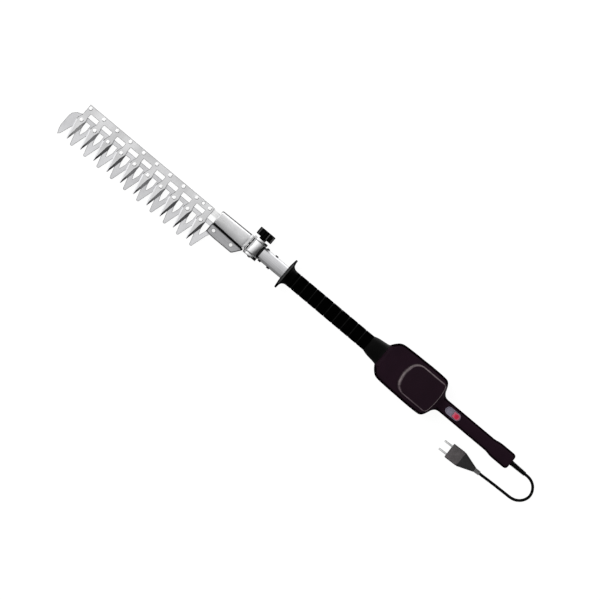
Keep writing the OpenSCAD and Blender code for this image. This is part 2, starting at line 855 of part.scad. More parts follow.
module knuckle() {
    color("silver") difference() {
        union() {
            rod_y(barrel_bottom, barrel_top, barrel_r);
            rod_x(tube_front - shoulder_t, tube_front, tube_r);
            rod_x(pivot_x + cavity_r, spigot_end, tube_bore - 0.05);
        }
        rod_y(barrel_bottom - 1, barrel_top + 1, cavity_r);
        // way for the head's shaft, from straight ahead to straight down
        translate([pivot_x - BIG, -slot_half_y, axis_z - BIG])
            cube([BIG + slot_half_y, 2 * slot_half_y, BIG + slot_half_y]);
        rod_x(pivot_x, spigot_end + 1, shaft_r + 1.2);
        rod_x(pivot_x, pivot_x + bevel_out + 0.5, window_r);
        rod_x(pivot_x + cavity_r - 1, pivot_x + cavity_r + bearing_w, bearing_r);
        for (x = tube_screw_xs) rod_y(-BIG, BIG, screw_r + 0.5, x);
    }
}

module tube_screws() {
    color("black") for (x = tube_screw_xs) for (s = [0, 1]) mirror([0, s, 0]) {
        rod_y(shaft_r + 1.6, tube_r, screw_r + 0.5 - EPS, x);
        rod_y(tube_r, tube_r + 2.2, screw_head_r, x);
    }
}

module pivot_bushes() {
    color("goldenrod") difference() {
        union() {
            rod_y(barrel_bottom, -bush_face, cavity_r - EPS);
            rod_y(bush_face, barrel_top, cavity_r - EPS);
        }
        rod_y(barrel_bottom - 1, barrel_top + 1, bolt_r + fit_gap);
    }
}

module pivot_gear() {
    color("dimgray") difference() {
        translate([pivot_x, 0, axis_z]) rotate([90, 0, 0])
            bevel_gear(bevel_in, bevel_out, bush_face - run_gap - bevel_out);
        rod_y(-BIG, BIG, bolt_r + fit_gap);
    }
}

bolt_head_r = 3.2;

module pivot_bolt() {
    color("dimgray") {
        rod_y(lower_arm_end, knob_y + knob_stem_h + knob_h - 4, bolt_r);
        rod_y(lower_arm_end - 1.7, lower_arm_end, bolt_head_r);
    }
}

nut_r = 6.2;
knob_stem_r = 7.4;

module clamp_knob() {
    top = knob_y + knob_stem_h + knob_h;
    color("black") difference() {
        union() {
            rod_y(knob_y, knob_y + knob_stem_h + 1, knob_stem_r);
            rod_y(knob_y + knob_stem_h, top, knob_d / 2);
        }
        for (i = [0 : knob_flutes - 1]) translate([pivot_x, 0, axis_z])
            rotate([0, (i + 0.5) * 360 / knob_flutes, 0])
                translate([knob_d / 2 + 0.7, top + 1, 0]) rotate([90, 0, 0])
                    cylinder(h = knob_h + 2, r = 2);
        rod_y(knob_y - 1, top - 2.5, nut_r);
    }
}

module knob_nut() {
    color("goldenrod") difference() {
        rod_y(knob_y, knob_y + knob_stem_h + knob_h - 2.5, nut_r - EPS);
        rod_y(knob_y - 1, BIG, bolt_r + fit_gap);
    }
}

// ---------------------------------------------------------- tube and grip

module tube() {
    color("gainsboro") difference() {
        rod_x(tube_front, front_bearing_x - 4, tube_r);
        rod_x(tube_front - 1, front_bearing_x, tube_bore);
        for (x = tube_screw_xs) rod_y(-BIG, BIG, screw_r + 0.5, x);
    }
}

sleeve_bore = tube_r + EPS;
guard_hub_r = 18;

module guard_flange() {
    x0 = guard_front;
    x1 = grip_front;
    r = guard_d / 2;
    color("black") turned_x([
        [x0, sleeve_bore], [x0, guard_hub_r], [x0 + 1.8, r - 1], [x0 + 2.4, r], [x0 + 5.6, r],
        [x0 + 6.1, r - 1], [x0 + 6.5, r - 8], [x0 + 7.4, r - 11.5], [x0 + 11, grip_d / 2 + 2],
        [x0 + 16.3, grip_d / 2], [x1, grip_d / 2], [x1, sleeve_bore]
    ]);
}

ring_w = 1.6;
ring_deep = 0.7;

module grip_sleeve() {
    step = grip_len / (grip_rings + 0.3);
    color("black") difference() {
        ring_x(grip_front, collar_front, grip_d / 2, sleeve_bore);
        for (i = [0 : grip_rings - 1])
            ring_x(grip_front + step * (i + 0.32), grip_front + step * (i + 0.32) + ring_w,
                grip_d / 2 + 1, grip_d / 2 - ring_deep);
    }
}

// the collar's side, as shares of its length and of its rise above the grip
collar_shape = [
    [0, 0.05], [0.06, 0.12], [0.17, 0.28], [0.28, 0.41], [0.44, 0.53], [0.72, 0.68],
    [0.89, 0.8], [1, 1]
];

module collar() {
    rise = (collar_d - grip_d) / 2;
    color("black") turned_x(concat([[collar_front, sleeve_bore]], [for (s = collar_shape)
        [collar_front + s[0] * collar_len, grip_d / 2 + s[1] * rise]],
        [[housing_front, sleeve_bore]]));
}

shaft_spigot_r = 2.5;

module drive_shaft() {
    color("silver") {
        rod_x(pivot_x + bevel_out + bevel_hub, coupling_x + coupling_len / 2 - 0.3, shaft_r);
        rod_x(pivot_x + bevel_in + 0.5, pivot_x + bevel_out + bevel_hub + 1, shaft_spigot_r);
    }
}

module drive_pinion() {
    color("dimgray") difference() {
        translate([pivot_x, 0, axis_z]) rotate([0, 90, 0])
            bevel_gear(bevel_in, bevel_out, bevel_hub);
        rod_x(pivot_x, pivot_x + 2 * bevel_out, shaft_spigot_r + EPS);
    }
}

module shaft_bushes() {
    x0 = pivot_x + cavity_r;
    color("goldenrod") {
        ring_x(x0, x0 + bearing_w, bearing_r - EPS, shaft_r + fit_gap);
        for (x = [grip_front + grip_len / 3, collar_front - 30])
            ring_x(x, x + 12, tube_bore - EPS, shaft_r + fit_gap);
    }
}

// ------------------------------------------------------------------ motor

module motor_shaft() {
    color("silver") rod_x(coupling_x + coupling_len / 2 + 0.3,
        rear_bearing_x + motor_bearing_w + 1, shaft_r);
}

module shaft_coupling() {
    color("gray") ring_x(coupling_x, coupling_x + coupling_len, coupling_r, shaft_r + EPS);
}

armature_slots = 12;

module armature() {
    r = armature_d / 2;
    x0 = stator_x + 1;
    color("sienna") difference() {
        union() {
            rod_x(x0, x0 + stator_len - 2, r);
            rod_x(x0 - 4, x0 + stator_len + 2, r - 4);
        }
        rod_x(x0 - 10, x0 + stator_len + 10, shaft_r + EPS);
        translate([x0 - 1, 0, axis_z]) rotate([0, 90, 0])
            tooth_grooves(armature_slots, r - 2.5, r + 1, 1.6, 0, stator_len);
    }
}

commutator_bars = 24;

module commutator() {
    x0 = commutator_x;
    color("peru") difference() {
        rod_x(x0, x0 + commutator_len, commutator_r);
        rod_x(x0 - 1, x0 + commutator_len + 1, shaft_r + EPS);
        translate([x0 + 1.5, 0, axis_z]) rotate([0, 90, 0])
            tooth_grooves(commutator_bars, commutator_r - 0.8, commutator_r + 1, 0.4,
                0, commutator_len);
    }
}

module cooling_fan() {
    disc_t = 1.6;
    hub_r = 8;
    color("whitesmoke") difference() {
        union() {
            rod_x(fan_x, fan_x + disc_t, fan_d / 2);
            rod_x(fan_x, fan_x + fan_w, hub_r);
            for (i = [0 : fan_blades - 1]) translate([fan_x, 0, axis_z])
                rotate([i * 360 / fan_blades, 0, 0])
                    translate([0, hub_r - 1, 0])
                        cube([fan_w, fan_d / 2 - hub_r - 0.5, disc_t]);
        }
        rod_x(fan_x - 1, fan_x + fan_w + 1, shaft_r + EPS);
    }
}

pole_gap = 0.8;
core_t = 5;

module stator_core() {
    bore = armature_d / 2 + pole_gap;
    color("dimgray") difference() {
        rod_x(stator_x, stator_x + stator_len, stator_d / 2);
        rod_x(stator_x - 1, stator_x + stator_len + 1, bore);
        // winding windows on both sides of each pole
        for (s = [0, 1]) mirror([0, s, 0])
            intersection() {
                difference() {
                    rod_x(stator_x - 1, stator_x + stator_len + 1, stator_d / 2 - core_t);
                    rod_x(stator_x - 2, stator_x + stator_len + 2, bore - 1);
                }
                slab(stator_x - 1, stator_x + stator_len + 1, 6, BIG, axis_z - 13,
                    axis_z + 13);
            }
    }
}

module field_coils() {
    bore = armature_d / 2 + pole_gap;
    inner = bore + 0.6;
    outer = stator_d / 2 - core_t - 0.4;
    over = 4;
    color("chocolate") for (s = [0, 1]) mirror([0, s, 0]) intersection() {
        ring_x(stator_x - over, stator_x + stator_len + over, outer, inner);
        slab(stator_x - BIG, BIG, 7, BIG, axis_z - 12.4, axis_z + 12.4);
    }
}

module motor_bearings() {
    color("silver") for (x = [front_bearing_x, rear_bearing_x])
        ring_x(x, x + motor_bearing_w, motor_bearing_r - EPS, shaft_r + fit_gap);
}

brush_x = commutator_x + commutator_len / 2;
brush_w = 5;
brush_len = 14;

module carbon_brushes() {
    color("black") for (s = [0, 1]) mirror([0, s, 0])
        slab(brush_x - brush_w / 2, brush_x + brush_w / 2, commutator_r + 0.1,
            commutator_r + brush_len, axis_z - brush_w / 2, axis_z + brush_w / 2);
}

holder_wall = 1.8;

module brush_holders() {
    h = brush_w / 2 + holder_wall;
    y0 = commutator_r + 2.5;
    y1 = y0 + brush_len + 4;
    color("peru") for (s = [0, 1]) mirror([0, s, 0]) difference() {
        slab(brush_x - h, brush_x + h, y0, y1, axis_z - h, axis_z + h);
        slab(brush_x - brush_w / 2 - EPS, brush_x + brush_w / 2 + EPS, y0 - 1, y1 - 2,
            axis_z - brush_w / 2 - EPS, axis_z + brush_w / 2 + EPS);
    }
}

// ---------------------------------------------------------------- housing

// the housing's side from front to rear, as shares of its length and half its width
housing_shape = [
    [0, 0.554], [0.049, 0.757], [0.125, 0.93], [0.278, 0.974], [0.486, 0.989], [0.66, 1],
    [0.84, 0.991], [0.92, 0.95], [0.965, 0.8], [1, 0.543]
];

// plan of the motor housing, seen from above
module housing_outline() {
    shape = concat(smooth(housing_shape), [housing_shape[len(housing_shape) - 1]]);
    side = [for (s = shape)
        [housing_front + s[0] * (housing_rear - housing_front), s[1] * housing_w / 2]];
    last = len(side) - 1;
    polygon(concat(side, [for (i = [0 : last]) [side[last - i][0], -side[last - i][1]]]));
}

edge_in = 8;
edge_mid = 2.6;

module housing_bulk(inset = 0) {
    low = inset;
    high = shell_top - inset;
    hull() {
        plate(low + 14, high - 14) offset(delta = -inset) housing_outline();
        plate(low + 4.5, high - 4.5) offset(delta = -inset - edge_mid) housing_outline();
        plate(low, high) offset(delta = -inset - edge_in) housing_outline();
    }
}

// cross-section of the handle, rounded all round
module handle_section(width, height, inset = 0) {
    w = width - 2 * inset;
    h = height - 2 * inset;
    r = handle_r - inset;
    square([h - 2 * r, w], center = true);
    square([h, w - 2 * r], center = true);
    for (i = [-1, 1]) for (j = [-1, 1])
        translate([i * (h / 2 - r), j * (w / 2 - r)]) circle(r = r);
}

module handle_piece(x0, x1, width, height, inset = 0) {
    translate([x0, 0, handle_z]) rotate([0, 90, 0]) linear_extrude(x1 - x0)
        handle_section(width, height, inset);
}

// steps of the neck between the housing and the handle: place, width and height
neck_steps = [[73, 51, 50], [77.5, 38.5, 38], [83, 31, 33.5], [91, handle_w, handle_h]];
neck_step_l = 0.6;
swell_x = 210;

module handle_bulk() {
    handle_piece(60, swell_x, handle_w, handle_h);
    hull() {
        handle_piece(swell_x, swell_x + 0.5, handle_w, handle_h);
        handle_piece(swell_x + 12, handle_end - 4, handle_end_w, handle_h + 3);
        handle_piece(swell_x + 16, handle_end, handle_end_w - 4, handle_h - 1);
    }
    // neck that blends the housing into the handle
    for (i = [1 : len(neck_steps) - 1]) hull() for (s = [neck_steps[i - 1], neck_steps[i]])
        handle_piece(s[0], s[0] + neck_step_l, s[1], s[2]);
}

module handle_hollow() {
    handle_piece(40, swell_x + 8, handle_w, handle_h, housing_wall);
    handle_piece(swell_x + 4, handle_end - 3 * housing_wall, handle_w, handle_h, housing_wall);
}

boss_r = 4.5;
vent_count = 7;
vent_w = 2.4;
vent_step = 6;
vent_x = 8;
vent_h = 16;
stem_slot_l = 8;
stem_w = 4;

module housing_half(low, high) {
    difference() {
        intersection() {
            union() {
                housing_bulk();
                handle_bulk();
                // round neck behind the collar
                rod_x(housing_front, housing_front + edge_in, collar_d / 2);
            }
            slab(-BIG, BIG, -BIG, BIG, low, high);
        }
        difference() {
            union() {
                housing_bulk(housing_wall);
                handle_hollow();
            }
            for (s = screw_spots) rod_z(low - 1, high + 1, boss_r, s[0], s[1]);
            // walls that hold the tube's end, the bearings and the stator
            slab(housing_front, front_bearing_x + motor_bearing_w, -BIG, BIG, low, high);
            slab(rear_bearing_x, rear_bearing_x + motor_bearing_w, -34, 34, low, high);
            for (x = [stator_x + 6, stator_x + stator_len - 10])
                slab(x, x + 3, -36, 36, low, high);
        }
        rod_x(housing_front - 20, front_bearing_x - 4, tube_r + seat_gap);
        rod_x(housing_front - 20, rear_bearing_x + motor_bearing_w + 1, shaft_r + 2);
        for (x = [front_bearing_x, rear_bearing_x])
            rod_x(x, x + motor_bearing_w, motor_bearing_r + seat_gap);
        rod_x(front_bearing_x + motor_bearing_w, rear_bearing_x, stator_d / 2 + seat_gap);
        // sides of the brush holders
        slab(brush_x - brush_w / 2 - holder_wall - EPS, brush_x + brush_w / 2 + holder_wall
            + EPS, -33, 33, axis_z - brush_w / 2 - holder_wall - EPS,
            axis_z + brush_w / 2 + holder_wall + EPS);
        for (i = [0 : vent_count - 1])
            slab(vent_x + i * vent_step, vent_x + i * vent_step + vent_w, -BIG, BIG,
                axis_z - vent_h, axis_z - 4);
        for (y = [-brush_lead_y, brush_lead_y])
            rod_x(brush_x, lead_bend_x, lead_r + EPS, y, lead_z);
        rod_x(clamp_x, handle_end + 1, relief_r + seat_gap);
    }
}

module housing_lower() {
    color("#261820") difference() {
        housing_half(0, axis_z);
        for (s = screw_spots) {
            floor_z = s[0] > 100 ? handle_z - handle_h / 2 : 0;
            rod_z(-1, axis_z + 1, screw_r + EPS, s[0], s[1]);
            rod_z(-1, floor_z + 4, screw_head_r + 0.4, s[0], s[1]);
        }
    }
}

module housing_upper() {
    color("#261820") difference() {
        housing_half(axis_z, BIG);
        for (s = screw_spots) {
            roof_z = s[0] > 100 ? handle_top : shell_top;
            rod_z(axis_z - 1, roof_z - 5, screw_r + EPS, s[0], s[1]);
        }
        plate(handle_top - bezel_deep, handle_top + 1) capsule(bezel_x, bezel_len, bezel_w);
        slab(bezel_x + bezel_len - button_len - button_travel, bezel_x + bezel_len - 2,
            -stem_w, stem_w, axis_z, handle_top);
    }
}

module housing_screws() {
    color("dimgray") for (s = screw_spots) {
        floor_z = s[0] > 100 ? handle_z - handle_h / 2 : 0;
        roof_z = s[0] > 100 ? handle_top : shell_top;
        rod_z(floor_z + 4, roof_z - 6, screw_r, s[0], s[1]);
        rod_z(floor_z + 1.5, floor_z + 4, screw_head_r, s[0], s[1]);
    }
}

panel_front_r = 20;
panel_rear_r = 12;
panel_bulge = 3;

module panel_outline(inset = 0) {
    w = panel_w / 2 - inset;
    x0 = panel_x + inset;
    x1 = panel_x + panel_len - inset;
    hull() {
        for (y = [-1, 1]) {
            translate([x0 + panel_bulge + panel_front_r, y * (w - panel_front_r)])
                circle(r = panel_front_r, $fn = HULL_FN);
            translate([x1 - panel_bulge - panel_rear_r, y * (w - panel_rear_r)])
                circle(r = panel_rear_r, $fn = HULL_FN);
        }
        // the front edge bulges a little
        intersection() {
            translate([x0 + panel_w * 0.83, 0]) circle(r = panel_w * 0.83, $fn = HULL_FN * 4);
            translate([x0 - 1, -panel_front_r * 0.75])
                square([panel_front_r / 2, panel_front_r * 1.5]);
        }
    }
}

// raised cover on top of the housing
module motor_cover() {
    rim = 3;
    color("#1c1218") intersection() {
        hull() {
            plate(shell_top, housing_h - rim / 2) panel_outline();
            plate(shell_top, housing_h) panel_outline(rim);
        }
        plate(shell_top, housing_h) offset(delta = -edge_in) housing_outline();
    }
}

// ----------------------------------------------------------------- switch

module capsule(x0, length, width) {
    r = width / 2;
    translate([x0 + r, 0]) circle(r = r);
    translate([x0 + length - r, 0]) circle(r = r);
    translate([x0 + r, -r]) square([length - 2 * r, width]);
}

module switch_bezel() {
    x0 = bezel_x;
    inner_w = bezel_w - 2 * bezel_wall;
    stem_x = x0 + bezel_len - button_len / 2 - 4;
    color("#787280") difference() {
        plate(handle_top - bezel_deep, handle_top + bezel_rise)
            capsule(x0, bezel_len, bezel_w - EPS);
        plate(handle_top - bezel_deep + 2, handle_top + bezel_rise + 1)
            capsule(x0 + bezel_wall, bezel_len - 2 * bezel_wall, inner_w);
        slab(stem_x - stem_slot_l / 2 - button_travel - run_gap, stem_x + stem_slot_l / 2
            + run_gap, -stem_w / 2 - run_gap, stem_w / 2 + run_gap, 0, handle_top);
    }
}

button_rise = 2.2;

module switch_button() {
    x1 = bezel_x + bezel_len - bezel_wall - run_gap;
    x0 = bezel_x + bezel_len - button_len;
    w = bezel_w - 2 * bezel_wall - 2 * run_gap;
    stem_x = bezel_x + bezel_len - button_len / 2 - 4;
    color("#d7284b") {
        plate(handle_top - bezel_deep + 2 + run_gap, handle_top + bezel_rise + button_rise)
            difference() {
                capsule(x0 - w / 2, x1 - x0 + w / 2, w);
                translate([x0 - w, -w]) square([w, 2 * w]);
            }
        slab(stem_x - stem_slot_l / 2, stem_x + stem_slot_l / 2, -stem_w / 2, stem_w / 2,
            switch_top - 3, handle_top - bezel_deep + 3);
    }
}

switch_len = 34;
switch_w = 15;
switch_h = 16;
switch_top = handle_top - bezel_deep - 0.6;

module switch_body() {
    x0 = bezel_x - 2;
    stem_x = bezel_x + bezel_len - button_len / 2 - 4;
    color("#202020") difference() {
        slab(x0, x0 + switch_len, -switch_w / 2, switch_w / 2, switch_top - switch_h,
            switch_top);
        slab(stem_x - stem_slot_l / 2 - button_travel - run_gap, stem_x + stem_slot_l / 2
            + run_gap, -stem_w / 2 - run_gap, stem_w / 2 + run_gap, switch_top - 3 - run_gap,
            BIG);
    }
}

lead_r = 1.2;
lead_z = axis_z - 4;
lead_y = 6;
brush_lead_y = 24;
lead_bend_x = 60;
clamp_x = 226;
clamp_len = 8;

// wires from the clamp to the switch, and from the switch to the brushes
module internal_leads() {
    x_switch = bezel_x - 2;
    color("royalblue") for (s = [-1, 1]) {
        rod_x(x_switch + switch_len, clamp_x + clamp_len / 2, lead_r, s * lead_y, lead_z);
        rod_x(lead_bend_x, x_switch, lead_r, s * lead_y, lead_z);
        rod_x(brush_x + brush_w / 2 + holder_wall, lead_bend_x, lead_r, s * brush_lead_y,
            lead_z);
        rod_y(min(s * lead_y, s * brush_lead_y), max(s * lead_y, s * brush_lead_y), lead_r,
            lead_bend_x, lead_z);
        for (y = [lead_y, brush_lead_y])
            translate([lead_bend_x, s * y, lead_z]) sphere(r = lead_r);
    }
}

module cord_clamp() {
    color("#303030") difference() {
        slab(clamp_x, clamp_x + clamp_len, -10, 10, handle_z - 9, handle_z + 9);
        for (y = [-lead_y, lead_y])
            rod_x(clamp_x - 1, clamp_x + clamp_len / 2, lead_r + EPS, y, lead_z);
        rod_x(clamp_x + clamp_len / 2, clamp_x + clamp_len + 1, cord_d / 2 + EPS);
    }
}

// ---------------------------------------------------------- cord and plug

relief_taper = relief_len - 1;
relief_tip_r = cord_d / 2 + 1.4;

module strain_relief() {
    x0 = clamp_x + clamp_len;
    color("black") {
        rod_x(x0, relief_end - relief_taper, relief_r);
        turned_x([[relief_end - relief_taper, 0], [relief_end - relief_taper, relief_r],
            [relief_end, relief_tip_r], [relief_end, 0]]);
    }
}

// the points of a line, with one more between each two on a smooth curve
function smooth(p) = [for (i = [0 : len(p) - 2]) let (
        a = p[max(i - 1, 0)], b = p[i], c = p[i + 1], d = p[min(i + 2, len(p) - 1)])
    for (t = [0 : 1 / curve_steps : 0.999])
        0.5 * (2 * b + (c - a) * t + (2 * a - 5 * b + 4 * c - d) * t * t
            + (3 * b - a - 3 * c + d) * t * t * t)];

function unit(v) = v / norm(v);

module cord() {
    path = concat(smooth(cord_route), [cord_route[len(cord_route) - 1]]);
    n = len(path);
    // the cord leaves the strain relief and enters the plug squarely
    dirs = concat([[1, 0, 0]], [for (i = [1 : n - 2]) unit(path[i + 1] - path[i - 1])],
        [[-cos(plug_turn), -sin(plug_turn), 0]]);
    rings = [for (i = [0 : n - 1]) let (
            side = unit(cross(dirs[i], [0, 0, 1])), up = cross(side, dirs[i]))
        for (k = [0 : cord_sides - 1])
            path[i] + cord_d / 2 * (cos(k * 360 / cord_sides) * side
                + sin(k * 360 / cord_sides) * up)];
    walls = [for (i = [0 : n - 2]) for (k = [0 : cord_sides - 1]) let (
            k2 = (k + 1) % cord_sides, a = i * cord_sides, b = a + cord_sides)
        [a + k, b + k, b + k2, a + k2]];
    color("black") polyhedron(rings, concat(walls,
        [[for (k = [0 : cord_sides - 1]) k],
        [for (k = [cord_sides - 1 : -1 : 0]) (n - 1) * cord_sides + k]]), convexity = 6);
}

module at_plug() {
    translate(plug_end) rotate([0, 0, plug_turn]) children();
}

module plug_relief() {
    color("#4b4b4b") at_plug() rotate([0, -90, 0])
        cylinder(h = plug_relief_l, r1 = plug_relief_r - 0.3, r2 = plug_relief_r);
}

module plug_body() {
    x0 = -plug_relief_l;
    color("#3a3a3a") at_plug() {
        hull() {
            translate([x0 - 1, 0, 0]) rotate([0, 90, 0])
                cylinder(h = 1, r = plug_relief_r + 0.3, $fn = HULL_FN);
            translate([x0 - plug_taper_l, 0, 0]) plug_slice(plug_w - 0.8, plug_t, 6);
        }
        hull() {
            translate([x0 - plug_taper_l, 0, 0]) plug_slice(plug_w - 0.8, plug_t, 6);
            translate([x0 - plug_taper_l - 3, 0, 0]) plug_slice(plug_w, plug_t, 5);
            translate([x0 - plug_taper_l - plug_block_l, 0, 0]) plug_slice(plug_w, plug_t, 5);
        }
    }
}

module plug_slice(width, thick, r) {
    for (y = [-1, 1]) for (z = [-1, 1])
        translate([0, y * (width / 2 - r), z * (thick / 2 - r)])
            rotate([0, 90, 0]) cylinder(h = 0.5, r = r, $fn = HULL_FN);
}

module plug_pins() {
    x0 = -plug_relief_l - plug_taper_l - plug_block_l;
    color("silver") at_plug() for (y = [-1, 1])
        translate([x0 - pin_len, y * pin_gap / 2, 0]) rotate([0, 90, 0])
            cylinder(h = pin_len, r = pin_d / 2);
}

housing_lower();
housing_upper();
motor_cover();
housing_screws();
collar();
tube();
grip_sleeve();
guard_flange();
knuckle();
tube_screws();
pivot_bushes();
shaft_bushes();
stator_core();
field_coils();
brush_holders();
carbon_brushes();
motor_bearings();
switch_bezel();
switch_body();
switch_button();
internal_leads();
cord_clamp();
strain_relief();
cord();
plug_relief();
plug_body();
plug_pins();
motor_shaft();
armature();
commutator();
cooling_fan();
shaft_coupling();
drive_shaft();
drive_pinion();
pivot_gear();
head_fork();
gearbox_shell();
gearbox_cover();
gearbox_screws();
gearbox_seal();
foot_bracket();
bracket_screws();
head_bearings();
crank_bush();
head_shaft();
crank_gear();
crank_roller();
support_bar();
comb_plate();
comb_rivets();
guide_studs();
stud_washers();
cutter_blade();
pivot_bolt();
clamp_knob();
knob_nut();
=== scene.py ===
"""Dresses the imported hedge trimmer: camera, materials, cord, light and floor, then piece by piece."""

import math

import bmesh
import bpy
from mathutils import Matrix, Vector


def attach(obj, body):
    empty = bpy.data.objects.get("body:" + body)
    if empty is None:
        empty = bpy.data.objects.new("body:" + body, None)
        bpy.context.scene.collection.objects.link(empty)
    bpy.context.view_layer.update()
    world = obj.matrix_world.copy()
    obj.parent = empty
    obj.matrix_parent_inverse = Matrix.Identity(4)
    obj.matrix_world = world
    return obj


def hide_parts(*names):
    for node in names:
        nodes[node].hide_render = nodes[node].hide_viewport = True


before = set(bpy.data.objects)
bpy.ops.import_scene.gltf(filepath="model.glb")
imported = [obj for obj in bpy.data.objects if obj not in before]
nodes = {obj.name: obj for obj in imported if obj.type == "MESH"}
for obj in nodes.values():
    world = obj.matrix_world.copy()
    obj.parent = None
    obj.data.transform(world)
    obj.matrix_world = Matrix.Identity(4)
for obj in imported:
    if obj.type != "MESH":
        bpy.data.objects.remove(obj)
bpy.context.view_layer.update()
scene = bpy.context.scene
scene.view_settings.view_transform = "Standard"

# lengths are in millimetres, and become metres where they meet Blender
MM = 0.001
AXIS_Z = 35.0       # the tool's axis, along X
PIVOT_X = -402.0    # the bolt that the head tilts on, along Y


def add_object(name, data):
    obj = bpy.data.objects.new(name, data)
    scene.collection.objects.link(obj)
    return obj


# ------------------------------------------------------------------ camera

VIEW_CENTRE = (-0.267, -0.0222)
VIEW_WIDTH = 1.2
VIEW_HEIGHT = 0.03    # of the plane where the view is that wide
AXIS_FALL = 40        # degrees, how the tool lies in the photograph
LENS = 300.0
SENSOR = 36.0
camera = add_object("camera", bpy.data.cameras.new("camera"))
camera.data.lens = LENS
camera.data.sensor_width = SENSOR
camera.data.clip_end = 60
camera.location = (*VIEW_CENTRE, VIEW_WIDTH * LENS / SENSOR + VIEW_HEIGHT)
camera.rotation_euler = (0, 0, math.radians(AXIS_FALL))
scene.camera = camera


# --------------------------------------------------------------- materials

def linear(c):
    """A colour written as three numbers from 0 to 255, as linear light."""
    out = []
    for v in c:
        v = v / 255
        out.append(v / 12.92 if v <= 0.04045 else ((v + 0.055) / 1.055) ** 2.4)
    return (*out, 1.0)


def shade(c, k):
    """A colour made lighter or darker by a factor."""
    return tuple(min(255, v * k) for v in c)


def grey(tone):
    """A grey from 0 to 1, as linear light."""
    return (tone, tone, tone, 1)


def add_node(tree, kind, values=(), operation=None):
    """A new shader node, with (socket, value) for those of its sockets that get a value."""
    node = tree.nodes.new("ShaderNode" + kind)
    if operation:
        node.operation = operation
    for socket, value in values:
        node.inputs[socket].default_value = value
    return node


def link(tree, source, output, target, socket):
    """Links two nodes by their sockets' names or places."""
    tree.links.new(source.outputs[output], target.inputs[socket])


def add_noise(tree, scale, detail, stretch):
    """Noise that is fixed to the piece and stretched along its axes."""
    coord = add_node(tree, "TexCoord")
    mapping = add_node(tree, "Mapping", [("Scale", stretch)])
    noise = add_node(tree, "TexNoise", [("Scale", scale), ("Detail", detail)])
    link(tree, coord, "Object", mapping, "Vector")
    link(tree, mapping, "Vector", noise, "Vector")
    return noise


def material(name, colour, rough, metal=0.0, spread=0.06, scale=45, stretch=(1, 1, 1),
             rough_spread=0.08, fine=700, fine_stretch=None, bump=0.0, bump_scale=900,
             bump_stretch=(1, 1, 1), specular=0.5):
    """A procedural surface: its tone wanders slowly and its gloss finely, and bump is metres of relief."""
    m = bpy.data.materials.new(name)
    m.use_nodes = True
    tree = m.node_tree
    shader = tree.nodes["Principled BSDF"]
    shader.inputs["Metallic"].default_value = metal
    shader.inputs["Specular IOR Level"].default_value = specular
    ramp = add_node(tree, "ValToRGB")
    for end, place, share in zip(ramp.color_ramp.elements, (0.3, 0.7), (1 - spread, 1 + spread)):
        end.position = place
        end.color = linear(shade(colour, share))
    link(tree, add_noise(tree, scale, 3, stretch), "Fac", ramp, "Fac")
    link(tree, ramp, "Color", shader, "Base Color")
    span = add_node(tree, "MapRange", [("To Min", max(0.02, rough - rough_spread)),
                                       ("To Max", min(1.0, rough + rough_spread))])
    link(tree, add_noise(tree, fine, 2, fine_stretch or stretch), "Fac", span, "Value")
    link(tree, span, "Result", shader, "Roughness")
    if bump:
        bumper = add_node(tree, "Bump", [("Strength", 1.0), ("Distance", bump)])
        link(tree, add_noise(tree, bump_scale, 2, bump_stretch), "Fac", bumper, "Height")
        link(tree, bumper, "Normal", shader, "Normal")
    return m


# what the occlusion node gives where the painted edge shade begins, and where it is full
LINE_BEGINS, LINE_FULL = 0.94, 0.66


def paint_edge_shade(m, colour, reach, within=()):
    """Paints shade into a material along its edges, found by looking a short reach (in millimetres) into
    the solid.

    Each of within is (axis, none, full): the lines come in from one place in millimetres to the other.
    """
    tree = m.node_tree
    shader = tree.nodes["Principled BSDF"]
    own = shader.inputs["Base Color"].links[0].from_node
    near = add_node(tree, "AmbientOcclusion", [("Distance", reach * MM)])
    near.inside = True
    near.only_local = True
    near.samples = 8
    share = add_node(tree, "MapRange", [("From Min", LINE_BEGINS), ("From Max", LINE_FULL)])
    link(tree, near, "AO", share, "Value")
    for axis, none, full in within:
        coord = add_node(tree, "TexCoord")
        split = add_node(tree, "SeparateXYZ")
        fade = add_node(tree, "MapRange", [("From Min", none * MM), ("From Max", full * MM)])
        both = add_node(tree, "Math", operation="MULTIPLY")
        link(tree, coord, "Object", split, "Vector")
        link(tree, split, axis, fade, "Value")
        link(tree, share, 0, both, 0)
        link(tree, fade, "Result", both, 1)
        share = both
    blend = add_node(tree, "MixRGB", [("Color2", linear(colour))])
    link(tree, share, 0, blend, "Fac")
    link(tree, own, "Color", blend, "Color1")
    link(tree, blend, "Color", shader, "Base Color")


# grain that several materials share: its relief in metres, and how fine it is
ALONG = (1, 14, 14)    # streaks along the tool
ACROSS_BLADE = {"fine": 260, "fine_stretch": (1, 16, 1), "bump": 0.00001, "bump_scale": 420,
                "bump_stretch": (1, 14, 1)}
SOFT_GRIP = {"bump": 0.00006, "bump_scale": 1500}
GUARD_GRAIN = {"bump": 0.00003, "bump_scale": 1800}
MOULDED = {"bump": 0.00003, "bump_scale": 1900}
KNOB_GRAIN = {"bump": 0.00002, "bump_scale": 1600}
PLUG_GRAIN = {"bump": 0.00004, "bump_scale": 1500}
blade_steel = material("blade_steel", (238, 238, 239), 0.36, 1.0, 0.06, 28, (1, 0.6, 1), **ACROSS_BLADE)
cutter_steel = material("cutter_steel", (236, 236, 238), 0.4, 1.0, 0.06, 24, (1, 0.6, 1), **ACROSS_BLADE)
# painted shade on the long bevels that face away from the light, in three depths
bevel_shade_steels = [material("bevel_painted_shade_" + word, (tone, tone, tone + 2), 0.32, 1.0, 0.12, 16,
                          (1, 0.8, 1), fine=500, fine_stretch=(14, 1, 1), bump=0.000012,
                          bump_scale=500, bump_stretch=(16, 1, 1))
                 for word, tone in (("dark", 125), ("middle", 182), ("light", 231))]
# a dark steel painted on softened edges as shade
steel_shade_edge = material("steel_shade_edge", (74, 74, 76), 0.4, 1.0, 0.15, 60)
